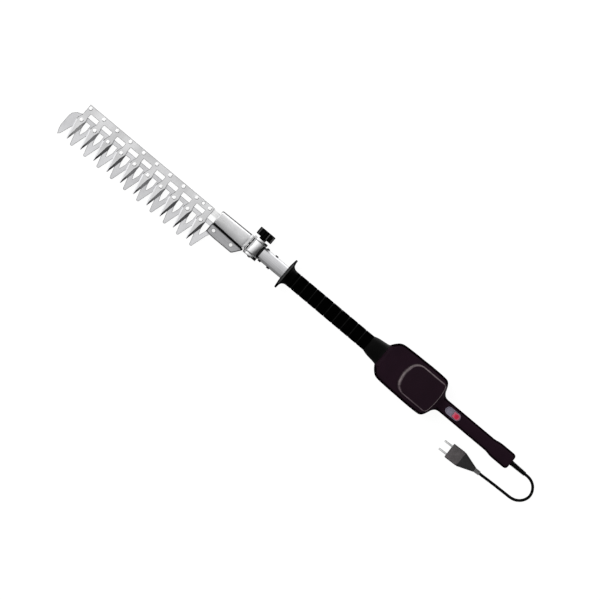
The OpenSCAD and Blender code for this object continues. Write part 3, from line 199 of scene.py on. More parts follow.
# near black painted as shade on the barrel, arms, knuckle neck and tube
barrel_painted_shade = material("barrel_painted_shade", (26, 26, 27), 0.4, 0.4, 0.1, 60, specular=0.1)
# darker alloys painted as shade on edges and steep sides
cast_shade_edge = material("cast_shade_edge", (122, 122, 124), 0.42, 0.75, 0.04, 60)
cast_shade_deep = material("cast_shade_deep", (66, 66, 67), 0.45, 0.4, 0.06, 60, specular=0.2)
ground_bright = material("ground_bright", (208, 208, 210), 0.26, 1.0, 0.02, 40)
rivet_steel = material("rivet_steel", (254, 254, 254), 0.28, 0.15, 0.004, 60)
rivet_shade = material("rivet_shade", (110, 110, 112), 0.35, 0.6, 0.06, 60)
bar_steel = material("bar_steel", (252, 252, 252), 0.4, 0.3, 0.05, 30, ALONG)
cast_alloy = material("cast_alloy", (219, 219, 220), 0.42, 0.75, 0.03, 40, fine=900,
                      bump=0.00002, bump_scale=1400)
cover_alloy = material("cover_alloy", (176, 176, 179), 0.46, 0.75, 0.04, 40, bump=0.00002,
                       bump_scale=1200)
barrel_alloy = material("barrel_alloy", (234, 234, 235), 0.3, 1.0, 0.03, 30,
                        fine=500, fine_stretch=(10, 1, 10), bump=0.000004, bump_scale=300,
                        bump_stretch=(1, 20, 1))
bracket_grey = material("bracket_grey", (184, 184, 186), 0.38, 0.85, 0.05, 50, ALONG,
                        bump=0.00001, bump_scale=500, bump_stretch=ALONG)
tube_alloy = material("tube_alloy", (188, 188, 190), 0.3, 1.0, 0.03, 30, (1, 8, 8),
                      bump=0.000005, bump_scale=160, bump_stretch=(1, 12, 12))
# a matt pale alloy painted on some faces as the light they catch
alloy_painted_light = material("alloy_painted_light", (208, 208, 209), 0.6, 0.0, 0.03, 60)
# painted shade: dark lines along the edges of the blade, cutter, bracket, fork and bevels
paint_edge_shade(blade_steel, (70, 70, 72), 1.2)
paint_edge_shade(cutter_steel, (70, 70, 72), 1.2)
paint_edge_shade(bracket_grey, (20, 20, 21), 3.2)
# no painted edge shade on the fork's base nor on its upper arm
paint_edge_shade(barrel_alloy, (6, 6, 6), 3.0, [("X", -419.2, -418.6), ("Y", 16.2, 15.4)])
# painted shade makes the thin tips darker than the bevels that lead to them
for steel, tone in zip(bevel_shade_steels, (14, 70, 140)):
    paint_edge_shade(steel, (tone, tone, tone + 1), 4.0, [("Y", -52, -68)])
seal_rubber = material("seal_rubber", (9, 9, 9), 0.6, spread=0.2, scale=200, specular=0.03)
grip_rubber = material("grip_rubber", (2, 2, 2), 0.6, spread=0.25, scale=160, specular=0.0, **SOFT_GRIP)
ring_rubber = material("ring_rubber", (16, 16, 16), 0.6, spread=0.25, scale=160, specular=0.02,
                       **SOFT_GRIP)
guard_plastic = material("guard_plastic", (3, 3, 3), 0.4, spread=0.15, scale=120, specular=0.01,
                         **GUARD_GRAIN)
# a paler plastic painted as a highlight
guard_painted_highlight = material("guard_painted_highlight", (54, 54, 54), 0.4, spread=0.15, scale=120, specular=0.1,
                       **GUARD_GRAIN)
collar_plastic = material("collar_plastic", (6, 6, 6), 0.45, spread=0.15, scale=120, specular=0.03,
                          **GUARD_GRAIN)
housing_plastic = material("housing_plastic", (29, 16, 25), 0.5, spread=0.07, scale=30, specular=0.03,
                           **MOULDED)
# darker plastics painted as shade on the housing's sides
housing_shade_side = material("housing_shade_side", (14, 7, 11), 0.5, spread=0.1, scale=30, specular=0.0, **MOULDED)
housing_shade_edge = material("housing_shade_edge", (3, 1, 2), 0.5, spread=0.1, scale=30, specular=0.0, **MOULDED)
panel_plastic = material("panel_plastic", (29, 17, 25), 0.44, spread=0.06, scale=30, specular=0.03,
                         **MOULDED)
# paler plastics painted on the cover's rim as highlights
rim_highlight_full = material("rim_highlight_full", (104, 94, 96), 0.4, spread=0.2, scale=110, specular=0.2, **MOULDED)
rim_highlight_half = material("rim_highlight_half", (74, 63, 68), 0.4, spread=0.25, scale=120, specular=0.15, **MOULDED)
rim_highlight_faint = material("rim_highlight_faint", (42, 31, 37), 0.4, spread=0.25, scale=130, specular=0.1, **MOULDED)
knob_plastic = material("knob_plastic", (2, 2, 2), 0.3, spread=0.15, scale=160, specular=0.03,
                        **KNOB_GRAIN)
# a grey painted on three ribs as highlight streaks
knob_painted_highlight = material("knob_painted_highlight", (74, 74, 74), 0.35, spread=0.15, scale=160, specular=0.2,
                     **KNOB_GRAIN)
shaft_steel = material("shaft_steel", (176, 176, 180), 0.28, 1.0, 0.04, 50, (8, 1, 8))
screw_steel = material("screw_steel", (52, 52, 54), 0.35, 1.0, 0.1, 90)
bright_screw = material("bright_screw", (254, 254, 254), 0.3, 0.15, 0.004, 90)
gear_steel = material("gear_steel", (142, 142, 147), 0.33, 1.0, 0.06, 80)
bronze = material("bronze", (196, 142, 82), 0.36, 1.0, 0.08, 90)
copper = material("copper", (186, 104, 62), 0.34, 1.0, 0.1, 60, (1, 30, 1), bump=0.00006,
                  bump_scale=90, bump_stretch=(1, 30, 1))
core_iron = material("core_iron", (92, 94, 99), 0.46, 0.9, 0.12, 900, (1, 0.02, 0.02))
carbon = material("carbon", (38, 38, 40), 0.7, spread=0.15, scale=300)
nylon = material("nylon", (206, 203, 192), 0.48, spread=0.04, scale=70)
inner_plastic = material("inner_plastic", (62, 62, 66), 0.5, spread=0.08, scale=90)
lead_plastic = material("lead_plastic", (52, 86, 152), 0.45, spread=0.08, scale=90)
switch_grey = material("switch_grey", (122, 117, 132), 0.4, spread=0.1, scale=420,
                       bump=0.00002, bump_scale=1500, specular=0.25)
switch_red = material("switch_red", (190, 30, 62), 0.36, spread=0.08, scale=200,
                      specular=0.25)
switch_pink = material("switch_pink", (178, 86, 106), 0.38, spread=0.06, scale=200,
                       specular=0.25)
cord_rubber = material("cord_rubber", (8, 8, 8), 0.5, spread=0.2, scale=240,
                       bump=0.00003, bump_scale=1200, specular=0.05)
plug_rubber = material("plug_rubber", (84, 80, 81), 0.55, spread=0.08, scale=160, specular=0.2,
                       **PLUG_GRAIN)
taper_rubber = material("taper_rubber", (40, 39, 40), 0.55, spread=0.08, scale=160, specular=0.2,
                        **PLUG_GRAIN)
# a near black painted as shade on the plug's sides
plug_shade_side = material("plug_shade_side", (12, 11, 12), 0.55, spread=0.1, scale=160, specular=0.03,
                     **PLUG_GRAIN)
relief_rubber = material("relief_rubber", (100, 99, 99), 0.5, spread=0.1, scale=160,
                         specular=0.2)
pin_metal = material("pin_metal", (215, 215, 215), 0.3, 0.9, 0.05, 90, (1, 8, 8))


# ------------------------------------------------------------ mesh helpers

ON_AXIS = 0.01          # the radius where a turned profile closes
SAME_POINT = 1e-7       # metres
WELD_DISTANCE = 2e-6    # metres
FLAT_ANGLE = 0.6        # degrees between CAD faces that are one flat face
EDGE_ANGLE = 28         # degrees from which an edge is softened


def mesh_of(name, part):
    """A mesh of (verts, faces) in millimetres, with its doubles merged and its faces outwards."""
    verts, faces = part
    mesh = bpy.data.meshes.new(name)
    mesh.from_pydata([tuple(c * MM for c in v) for v in verts], [], faces)
    bm = bmesh.new()
    bm.from_mesh(mesh)
    bmesh.ops.remove_doubles(bm, verts=bm.verts, dist=SAME_POINT)
    bmesh.ops.recalc_face_normals(bm, faces=bm.faces)
    bm.to_mesh(mesh)
    bm.free()
    return mesh


def add_materials(mesh, mats):
    """Adds a material, or a list of them, to a mesh."""
    for m in (mats if isinstance(mats, list) else [mats]):
        mesh.materials.append(m)


def put(name, mesh, mats, body, replaces, sharp=35):
    """An object of a mesh, riding on a body in place of CAD nodes; sharp is in degrees."""
    add_materials(mesh, mats)
    mesh.shade_smooth()
    mesh.set_sharp_from_angle(angle=math.radians(sharp))
    obj = add_object(name, mesh)
    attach(obj, body)
    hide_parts(*replaces)
    return obj


def piece(name, part, mats, body, replaces, sharp=35):
    """An object of (verts, faces) in millimetres, riding on a body in place of CAD nodes."""
    return put(name, mesh_of(name, part), mats, body, replaces, sharp)


def soften(points, radius):
    """An open line of points with each inner corner rounded."""
    steps = 3
    out = [points[0]]
    for a, b, c in zip(points, points[1:], points[2:]):
        a, b, c = Vector(a), Vector(b), Vector(c)
        la, lc = (a - b).length, (c - b).length
        if la < 1e-6 or lc < 1e-6:
            continue
        r = min(radius, la * 0.45, lc * 0.45)
        p, q = b + (a - b) / la * r, b + (c - b) / lc * r
        for i in range(steps + 1):
            t = i / steps
            out.append(tuple((1 - t) ** 2 * p + 2 * t * (1 - t) * b + t * t * q))
    out.append(points[-1])
    return out


def axis_point(axis, centre, along, r, angle):
    """A point at some radius and angle round an axis through centre."""
    c, s = r * math.cos(angle), r * math.sin(angle)
    x, y, z = centre
    if axis == "x":
        return (along, y + c, z + s)
    if axis == "y":
        return (x + c, along, z + s)
    return (x + c, y + s, along)


def turned(profile, axis, centre, sides, closed=False, wobble=None):
    """Verts and faces of a profile of (along, radius) turned round an axis.

    wobble(radius, share of the turn) is what a point's radius gains.
    """
    verts, faces = [], []
    n = len(profile)
    for along, r in profile:
        for k in range(sides):
            gain = wobble(r, k / sides) if wobble else 0
            verts.append(axis_point(axis, centre, along, r + gain, 2 * math.pi * k / sides))
    last = n if closed else n - 1
    for i in range(last):
        j = (i + 1) % n
        for k in range(sides):
            after = (k + 1) % sides
            faces.append((i * sides + k, j * sides + k, j * sides + after, i * sides + after))
    if not closed:
        faces.append(tuple(range(sides)))
        faces.append(tuple(range((n - 1) * sides, n * sides)))
    return verts, faces


def join(*parts):
    """Several (verts, faces) as one."""
    verts, faces = [], []
    for v, f in parts:
        base = len(verts)
        verts += v
        faces += [tuple(i + base for i in face) for face in f]
    return verts, faces


def lofted(rings):
    """Verts and faces of a closed skin over rings with equally many points."""
    verts = [p for ring in rings for p in ring]
    n = len(rings[0])
    faces = []
    for i in range(len(rings) - 1):
        for k in range(n):
            after = (k + 1) % n
            faces.append((i * n + k, (i + 1) * n + k, (i + 1) * n + after, i * n + after))
    faces.append(tuple(range(n)))
    faces.append(tuple(range((len(rings) - 1) * n, len(rings) * n)))
    return verts, faces


def curve_through(points, x):
    """Height at x of a smooth line through (x, value) points that never overshoots."""
    if x <= points[0][0]:
        return points[0][1]
    if x >= points[-1][0]:
        return points[-1][1]
    n = len(points)
    slopes = [(points[i + 1][1] - points[i][1]) / (points[i + 1][0] - points[i][0])
              for i in range(n - 1)]
    tangents = [slopes[0]]
    for i in range(1, n - 1):
        a, b = slopes[i - 1], slopes[i]
        tangents.append(0 if a * b <= 0 else 2 * a * b / (a + b))
    tangents.append(slopes[-1])
    i = next(i for i in range(n - 1) if x <= points[i + 1][0])
    (x0, y0), (x1, y1) = points[i], points[i + 1]
    h = x1 - x0
    t = (x - x0) / h
    return ((2 * t ** 3 - 3 * t ** 2 + 1) * y0 + (t ** 3 - 2 * t ** 2 + t) * h * tangents[i]
            + (-2 * t ** 3 + 3 * t ** 2) * y1 + (t ** 3 - t ** 2) * h * tangents[i + 1])


def dress(node, mats, bevel, segments=2, edge=-1):
    """Gives a CAD node its materials and soft edges, with the material at edge, or -1 for their own."""
    obj = nodes[node]
    obj.data.materials.clear()
    add_materials(obj.data, mats)
    weld = obj.modifiers.new("weld", "WELD")
    weld.merge_threshold = WELD_DISTANCE
    flat = obj.modifiers.new("flat", "DECIMATE")
    flat.decimate_type = "DISSOLVE"
    flat.angle_limit = math.radians(FLAT_ANGLE)
    soft = obj.modifiers.new("soft", "BEVEL")
    soft.width = bevel * MM
    soft.segments = segments
    soft.limit_method = "ANGLE"
    soft.angle_limit = math.radians(EDGE_ANGLE)
    soft.harden_normals = True
    soft.material = edge


def faces_by_normal(node, rules):
    """Gives each face the last material whose test passes its normal and its centre in millimetres."""
    mesh = nodes[node].data
    for p in mesh.polygons:
        p.material_index = 0
        for i, test in rules:
            if test(p.normal, p.center / MM):
                p.material_index = i


def arc(cx, cy, r, first, last, steps=12):
    """Points along an arc, from one angle in degrees to another."""
    return [(cx + r * math.cos(a), cy + r * math.sin(a))
            for a in [math.radians(first + (last - first) * i / steps) for i in range(steps + 1)]]


def rounded(half_w, half_h, r):
    """A closed rounded rectangle of (across, up) points about its middle."""
    out = []
    for sx, sy, first in ((1, 1, 0), (-1, 1, 90), (-1, -1, 180), (1, -1, 270)):
        out += arc(sx * (half_w - r), sy * (half_h - r), r, first, first + 90, 7)
    return out


def inset(outline, d, ends=None):
    """A closed outline moved inwards by d, kept within two ends of its first axis."""
    n = len(outline)
    out = []
    for i, p in enumerate(outline):
        t = Vector(outline[(i + 1) % n]) - Vector(outline[i - 1])
        t.normalize()
        x, y = p[0] - t.y * d, p[1] + t.x * d
        if ends:
            x = min(max(x, ends[0] + d), ends[1] - d)
        out.append((x, y))
    return out


def stacked(outline, levels, ends=None):
    """A solid of the outline at several (height, inset) levels."""
    return lofted([[(x, y, z) for x, y in inset(outline, d, ends)] for z, d in levels])


def rim(z0, z1, across, steps=8):
    """Levels of a quarter-round edge from height z0 up (or down) to z1, going in by across."""
    turns = [math.pi / 2 * i / steps for i in range(1, steps + 1)]
    return [(z0 + (z1 - z0) * math.sin(a), across * (1 - math.cos(a))) for a in turns]


def box(x0, x1, y0, y1, z0, z1):
    """Verts and faces of a box from corner to corner."""
    return lofted([[(x, y0, z0), (x, y1, z0), (x, y1, z1), (x, y0, z1)] for x in (x0, x1)])


def carve(base, adds, cuts):
    """A mesh of the base with some parts joined to it and others taken out."""
    work = add_object("work", mesh_of("work", base))
    tools = []
    for how, parts in (("UNION", adds), ("DIFFERENCE", cuts)):
        for part in parts:
            tool = add_object("tool", mesh_of("tool", part))
            step = work.modifiers.new(how, "BOOLEAN")
            step.operation = how
            step.solver = "EXACT"
            step.object = tool
            tools.append(tool)
    graph = bpy.context.evaluated_depsgraph_get()
    mesh = bpy.data.meshes.new_from_object(work.evaluated_get(graph))
    for obj in tools + [work]:
        bpy.data.objects.remove(obj)
    mesh.materials.clear()
    return mesh


# -------------------------------------------------------------------- cord

CORD_R = 3.0
# the same points as in the part's source
CORD_ROUTE = [
    (301, 0, 35), (309, 0, 34.6), (317, -1.4, 33.2), (325, -5.2, 30), (331.3, -11, 26),
    (336.2, -19.6, 21), (337.8, -29, 16), (335.4, -38, 11.2), (329.8, -46, 7.5),
    (321, -52, 4.9), (311, -54.5, 3.6), (300, -55, 3.1), (286, -55.4, 3.1),
    (272, -55.8, 3.3), (258, -56.4, 4.8), (246, -57, 7), (238, -57.4, 7.9), (232, -57.5, 8),
]


def catmull(points, steps):
    """A smooth line through all the points, with that many steps from each to the next."""
    out = []
    for i in range(len(points) - 1):
        a, b = Vector(points[max(i - 1, 0)]), Vector(points[i])
        c, d = Vector(points[i + 1]), Vector(points[min(i + 2, len(points) - 1)])
        for k in range(steps):
            t = k / steps
            out.append(0.5 * (2 * b + (c - a) * t + (2 * a - 5 * b + 4 * c - d) * t * t
                              + (3 * b - a - 3 * c + d) * t ** 3))
    out.append(Vector(points[-1]))
    return out


cord_line = catmull(CORD_ROUTE, 6)
cord_curve = bpy.data.curves.new("mains_cord", "CURVE")
cord_curve.dimensions = "3D"
cord_curve.bevel_depth = CORD_R * MM
cord_curve.bevel_resolution = 6
cord_curve.use_fill_caps = True
spline = cord_curve.splines.new("POLY")
spline.points.add(len(cord_line) - 1)
for point, place in zip(spline.points, cord_line):
    point.co = (*(place * MM), 1)
cord_curve.materials.append(cord_rubber)
cord = add_object("mains_cord", cord_curve)
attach(cord, "root")
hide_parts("cord")


# ---------------------------------------------------------- floor and light

def soft_light(name, place, target, size, power):
    """A rectangular lamp that looks at the target."""
    lamp = bpy.data.lights.new(name, "AREA")
    lamp.shape = "RECTANGLE"
    lamp.size, lamp.size_y = size
    lamp.energy = power
    obj = add_object(name, lamp)
    obj.location = place
    # shiny pieces mirror the dome instead, which has no hard edges
    obj.visible_glossy = False
    obj.rotation_euler = (Vector(target) - obj.location).to_track_quat("-Z", "Y").to_euler()


soft_light("key_light", (-1.4, 0.1, 2.3), (-0.3, 0, 0), (0.8, 1.6), 22)
soft_light("fill_light", (0.4, 2.2, 1.5), (-0.2, 0, 0), (2.0, 1.0), 8)

# the dome's strength for matt surfaces, and what makes its strength for shiny ones
DOME_LEVEL = 0.78
GLOSS_SLOPE = (-1.1, 0.42, 0.0)
GLOSS_LEVEL = 0.885
GLOSS_LEAST = 0.08


def studio_world():
    """White to the camera, even to matt surfaces, palest to shiny ones on the blade's and knob's side."""
    world = bpy.data.worlds.new("studio")
    world.use_nodes = True
    tree = world.node_tree
    tree.nodes.clear()
    path = add_node(tree, "LightPath")
    coord = add_node(tree, "TexCoord")
    slope = add_node(tree, "VectorMath", [(1, GLOSS_SLOPE)], "DOT_PRODUCT")
    level = add_node(tree, "Math", [(1, GLOSS_LEVEL)], "ADD")
    least = add_node(tree, "Math", [(1, GLOSS_LEAST)], "MAXIMUM")
    strength = add_node(tree, "Mix", [("A", DOME_LEVEL)])
    dome = add_node(tree, "Background")
    seen = add_node(tree, "Background", [("Color", grey(1)), ("Strength", 1.0)])
    mix = add_node(tree, "MixShader")
    out = add_node(tree, "OutputWorld")
    link(tree, coord, "Generated", slope, 0)
    link(tree, slope, "Value", level, 0)
    link(tree, level, "Value", least, 0)
    link(tree, path, "Is Glossy Ray", strength, "Factor")
    link(tree, least, "Value", strength, "B")
    link(tree, strength, "Result", dome, "Strength")
    link(tree, path, "Is Camera Ray", mix, "Fac")
    link(tree, dome, "Background", mix, 1)
    link(tree, seen, "Background", mix, 2)
    link(tree, mix, "Shader", out, "Surface")
    return world


FLOOR_SPAN = 6.0
FLOOR_TONE = 0.86
FLOOR_GLOW = 1.12      # what the camera sees of it besides
GLOW_SHARE = 0.82
MIRROR_SPAN = 0.1      # metres to each side of the tool
MIRROR_GAIN = 2.3
# (place, tone) of the painted light that shiny pieces mirror of it, from the plug's side to the knob's
# side, with a painted shadow in the middle under the tool
MIRROR_ENDS = ((0.3, 0.16), (0.82, 1))
MIRRORED_SHADOW = ((0.36, 0.025), (0.64, 0.025))


def white_floor():
    """The floor's material: it keeps shadows, glows to the camera, and to shiny pieces above it glows with
    painted light, dark with a painted shadow right under them.
    """
    mat = bpy.data.materials.new("floor_white")
    mat.use_nodes = True
    tree = mat.node_tree
    tree.nodes.clear()
    path = add_node(tree, "LightPath")
    matt = add_node(tree, "BsdfDiffuse", [("Color", grey(FLOOR_TONE))])
    glow = add_node(tree, "Emission", [("Strength", FLOOR_GLOW)])
    seen = add_node(tree, "Math", operation="MAXIMUM")
    share = add_node(tree, "Math", [(1, GLOW_SHARE)], "MULTIPLY")
    plain = add_node(tree, "MixShader")
    link(tree, path, "Is Camera Ray", seen, 0)
    link(tree, path, "Is Transmission Ray", seen, 1)
    link(tree, seen, "Value", share, 0)
    link(tree, share, "Value", plain, "Fac")
    link(tree, matt, "BSDF", plain, 1)
    link(tree, glow, "Emission", plain, 2)
    place = add_node(tree, "NewGeometry")
    split = add_node(tree, "SeparateXYZ")
    across = add_node(tree, "MapRange", [("From Min", -MIRROR_SPAN), ("From Max", MIRROR_SPAN)])
    tones = add_node(tree, "ValToRGB")
    for end, (position, tone) in zip(tones.color_ramp.elements, MIRROR_ENDS):
        end.position = position
        end.color = grey(tone)
    for position, tone in MIRRORED_SHADOW:
        tones.color_ramp.elements.new(position).color = grey(tone)
    gain = add_node(tree, "Math", [(1, MIRROR_GAIN)], "MULTIPLY")
    mirrored = add_node(tree, "Emission")
    both = add_node(tree, "MixShader")
    out = add_node(tree, "OutputMaterial")
    link(tree, place, "Position", split, "Vector")
    link(tree, split, "Y", across, "Value")
    link(tree, across, "Result", tones, "Fac")
    link(tree, tones, "Color", gain, 0)
    link(tree, gain, "Value", mirrored, "Strength")
    link(tree, path, "Is Glossy Ray", both, "Fac")
    link(tree, plain, "Shader", both, 1)
    link(tree, mirrored, "Emission", both, 2)
    link(tree, both, "Shader", out, "Surface")
    return mat


scene.world = studio_world()
floor_mesh = bpy.data.meshes.new("floor")
FLOOR_CORNERS = ((-1, -1), (1, -1), (1, 1), (-1, 1))
floor_mesh.from_pydata([(x * FLOOR_SPAN, y * FLOOR_SPAN, 0) for x, y in FLOOR_CORNERS],
                       [], [(0, 1, 2, 3)])
floor_mesh.materials.append(white_floor())
add_object("floor", floor_mesh)

# ------------------------------------------------- comb, cutter and rivets

TEETH = 10
TOOTH_PITCH = 34.6
FIRST_RIVET = -833.7
COMB_TOP = 27.5
COMB_Z = 25.3
TOP_RIVET_Y = 2.0
STUD_Y = -27.0
rivet_xs = [FIRST_RIVET + i * TOOTH_PITCH for i in range(TEETH)]

# how dark the painted shade on each tooth's long bevel is, from the tip of the blade; it is darker on some
# teeth than on others
BEVEL_TONES = (2, 1, 0, 0, 1, 1, 1, 0, 0, 0)
BEVEL_SIDE = 5    # how far the bevel is behind its tooth's rivet


def on_bevel(x):
    """A test for the long bevel of the tooth whose rivet is at x."""
    return lambda n, c: n.z > 0.3 and n.x > 0.15 and abs(c.x - x - BEVEL_SIDE) < TOOTH_PITCH / 2


# painted shade: the comb's, cutter's and bar's softened edges take a dark steel
dress("comb_plate", [blade_steel, steel_shade_edge, ground_bright] + bevel_shade_steels, bevel=0.6, edge=1)
# the long bevels facing away from the light take painted shade
faces_by_normal("comb_plate", [(2, lambda n, c: n.z > 0.3 and n.x < -0.15)]
                + [(3 + tone, on_bevel(x)) for x, tone in zip(rivet_xs, BEVEL_TONES)])
dress("cutter_blade", [cutter_steel, steel_shade_edge], bevel=0.5, edge=1)
dress("support_bar", [bar_steel, steel_shade_edge], bevel=0.4, edge=1)
dress("stud_washers", gear_steel, bevel=0.15)

RIVET_R = 4.15
SHANK_R = 2.0
DOME_R = RIVET_R - 0.65


def rivet_profile(low, thick, low_r):
    """A rivet from its lower head, which ends at a height of low, to its flat dome."""
    return ([(low - thick, ON_AXIS), (low - thick, low_r - 0.4), (low - thick + 0.3, low_r),
             (low, low_r), (low, SHANK_R), (COMB_TOP, SHANK_R), (COMB_TOP, RIVET_R),
             (COMB_TOP + 0.1, RIVET_R), (COMB_TOP + 0.85, DOME_R)]
            + [(COMB_TOP + 0.85 + 0.45 * math.sin(a), DOME_R * math.cos(a))
               for a in map(math.radians, (20, 40, 60, 78))]
            + [(COMB_TOP + 1.3, ON_AXIS)])


def shaded_heads(name, profile, y, node):
    """A row of rivets whose rims are darker on the side away from the light."""
    parts = [turned(profile, "z", (x, y, 0), 32) for x in rivet_xs]
    obj = piece(name, join(*parts), [rivet_steel, rivet_shade], "head", [node])
    for p in obj.data.polygons:
        n = p.normal
        if 0.2 < n.z < 0.9 and 0.8 * n.x - 0.6 * n.y > 0.1:
            p.material_index = 1


shaded_heads("comb_rivet_heads", rivet_profile(22.6, 1.0, 3.2), TOP_RIVET_Y, "comb_rivets")
shaded_heads("guide_stud_heads", rivet_profile(21.4, 0.8, 3.5), STUD_Y, "guide_studs")

# ---------------------------------------------------------------- gearbox

GEARBOX_FRONT, GEARBOX_REAR = -499.0, -424.0
GEARBOX_TOP = 50.0
# its two sides, in front and at the rear
GEARBOX_KNOB_SIDE = (15.7, 17.05)
GEARBOX_FOOT_SIDE = (-14.4, -16.75)
CROWN_Z = COMB_Z + 5
CROWN_POWER = 2 / 2.5
FRONT_ROUND = 2.2
RING_SPACING = 5.9


def along_gearbox(x, front, rear):
    """What tapers from one size to another along the gearbox, at x."""
    return front + (rear - front) * (x - GEARBOX_FRONT) / (GEARBOX_REAR - GEARBOX_FRONT)


def gearbox_ring(x, shrink=0.0):
    """Cross-section of the crowned gearbox, from its knob side over the top to the seal."""
    high = along_gearbox(x, *GEARBOX_KNOB_SIDE) - shrink
    low = along_gearbox(x, *GEARBOX_FOOT_SIDE) + shrink
    mid, half = (high + low) / 2, (high - low) / 2
    ring = []
    for k in range(41):
        a = math.pi * k / 40
        c, s = math.cos(a), math.sin(a)
        y = mid + half * math.copysign(abs(c) ** CROWN_POWER, c)
        z = CROWN_Z + (GEARBOX_TOP - shrink - CROWN_Z) * abs(s) ** CROWN_POWER
        ring.append((x, y, z))
    ring.append((x, low, COMB_Z))
    ring.append((x, high, COMB_Z))
    return ring


rings = [gearbox_ring(GEARBOX_FRONT + FRONT_ROUND * (1 - math.cos(a)), FRONT_ROUND * (1 - math.sin(a)))
         for a in map(math.radians, (0, 20, 40, 60, 80))]
rings += [gearbox_ring(GEARBOX_FRONT + 3 + i * RING_SPACING) for i in range(13)]
rings += [gearbox_ring(GEARBOX_REAR - 0.3, 0.3), gearbox_ring(GEARBOX_REAR, 0.9)]
gearbox_top = piece("gearbox_top", lofted(rings), [cast_alloy, cast_shade_edge, cast_shade_deep], "head",
                    ["gearbox_shell"], 50)
# painted shade: darker alloy on the gearbox's steep sides, darkest on the knob's side
for p in gearbox_top.data.polygons:
    faces_knob = p.normal.y > 0.5 and p.normal.z < 0.5
    p.material_index = 2 if faces_knob else 1 if p.normal.z < 0.3 else 0
dress("gearbox_cover", cover_alloy, bevel=0.4)
dress("gearbox_seal", seal_rubber, bevel=0.3)
# painted shade: dark steel on the bracket's softened edges
dress("foot_bracket", [bracket_grey, steel_shade_edge], bevel=0.8, edge=1)

# painted shade darkens the barrel, the arms and the knuckle's neck on the tube's side, and in the gap on
# the head's side the barrel is painted dark beside a pale strip of painted light, across from the fork's
# wall, which is painted pale as light too; the bevels take painted shade
BARREL_MIDDLE = PIVOT_X + 2
BARREL_REAR = PIVOT_X + 10.4
dress("head_fork", [barrel_alloy, alloy_painted_light, cast_shade_edge, barrel_painted_shade], bevel=0.45, edge=2)
faces_by_normal("head_fork", [(1, lambda n, c: n.x > 0.9 and abs(c.y) < 14),
                              (3, lambda n, c: n.x > 0.55 and c.x > BARREL_MIDDLE)])
dress("knuckle", [barrel_alloy, cast_shade_deep, alloy_painted_light, barrel_painted_shade], bevel=0.6, edge=1)
faces_by_normal("knuckle", [(2, lambda n, c: -0.84 <= n.x < -0.62 and c.x < BARREL_MIDDLE),
                            (3, lambda n, c: n.x < -0.84 and c.x < BARREL_MIDDLE),
                            (3, lambda n, c: c.x > BARREL_REAR)])
# painted shade: dark steel on the screws' softened edges, a crescent beside their bright heads
dress("bracket_screws", [bright_screw, steel_shade_edge], bevel=0.5, edge=1)
dress("gearbox_screws", screw_steel, bevel=0.3)
dress("pivot_bolt", screw_steel, bevel=0.4)
dress("tube_screws", screw_steel, bevel=0.4, segments=3)

# ------------------------------------------------------------------- knob

FLUTES = 16
FLUTE_DEPTH = 1.5
STEM_R = 7.4
KNOB_R = 18.5
KNOB_CORNER = 0.9
KNOB_FRONT, KNOB_BACK = 25.0, 41.1
# where the knob's painted highlight streaks are, across it from the pivot
HIGHLIGHT_RIBS = (-14.6, 5.6, 15.9)


def flute(r, share):
    """What the knob's radius gains at a share of its turn: nothing but in the flutes of its outside."""
    wave = max(0.0, math.cos(2 * math.pi * (FLUTES * share - 0.5)))
    return -FLUTE_DEPTH * wave ** 2 if r > 16 else 0


knob_profile = [(38.0, ON_AXIS), (38.0, 6.3)] + soften(
    [(20.5, 6.3), (20.5, STEM_R), (KNOB_FRONT, STEM_R), (KNOB_FRONT, KNOB_R - KNOB_CORNER),
     (KNOB_FRONT + 0.8, KNOB_R), (KNOB_BACK - 0.7, KNOB_R), (KNOB_BACK, KNOB_R - KNOB_CORNER),
     (KNOB_BACK, 11.6), (KNOB_BACK - 0.9, 10.8), (KNOB_BACK - 0.9, ON_AXIS)], 0.5)
knob = piece("knob_grip", turned(knob_profile, "y", (PIVOT_X, 0, AXIS_Z), FLUTES * 12, wobble=flute),
             [knob_plastic, knob_painted_highlight], "knob", ["clamp_knob"])
for p in knob.data.polygons:
    # three ribs are painted grey as highlight streaks
    across = p.center.x / MM - PIVOT_X
    rib = any(abs(across - place) < 0.7 for place in HIGHLIGHT_RIBS)
    p.material_index = 1 if rib and abs(p.normal.y) < 0.3 and p.center.y / MM > KNOB_FRONT + 1.5 else 0
dress("knob_nut", bronze, bevel=0.3)

# ----------------------------------------------------------- tube and grip

# painted shade: a dark line along the tube's lower side
dress("tube", [tube_alloy, barrel_painted_shade], bevel=0.3)
faces_by_normal("tube", [(1, lambda n, c: n.y < -0.93)])

AXLE = (0, 0, AXIS_Z)
BORE = 14.01
GRIP_R = 17.5
GUARD_FRONT = -326.0
GRIP_FRONT = -304.0
COLLAR_FRONT = -106.0
HOUSING_FRONT, HOUSING_REAR = -70.0, 74.0


def sleeve(name, side, mats, node, sides, corner):
    """A turned sleeve on the tube, from (place along X, radius) points with rounded corners."""
    profile = [(side[0][0], BORE)] + soften(side, corner) + [(side[-1][0], BORE)]
    return piece(name, turned(profile, "x", AXLE, sides, closed=True), mats, "root", [node])


# (distance from its front, radius)
guard_side = [(0, 17), (0, 18), (1.8, 33.9), (2.7, 35), (5.4, 35), (6.1, 34), (6.6, 27.5), (7.6, 23.4),
              (9.2, 21), (11.4, 19.3), (14, 18.2), (17, GRIP_R), (22, GRIP_R)]
guard = sleeve("guard_rim", [(GUARD_FRONT + a, r) for a, r in guard_side],
               [guard_plastic, guard_painted_highlight], "guard_flange", 128, 0.8)
for p in guard.data.polygons:
    # a painted highlight along the top of the flange's edge
    if p.normal.z > 0.72 and p.center.z / MM - AXIS_Z > 24:
        p.material_index = 1

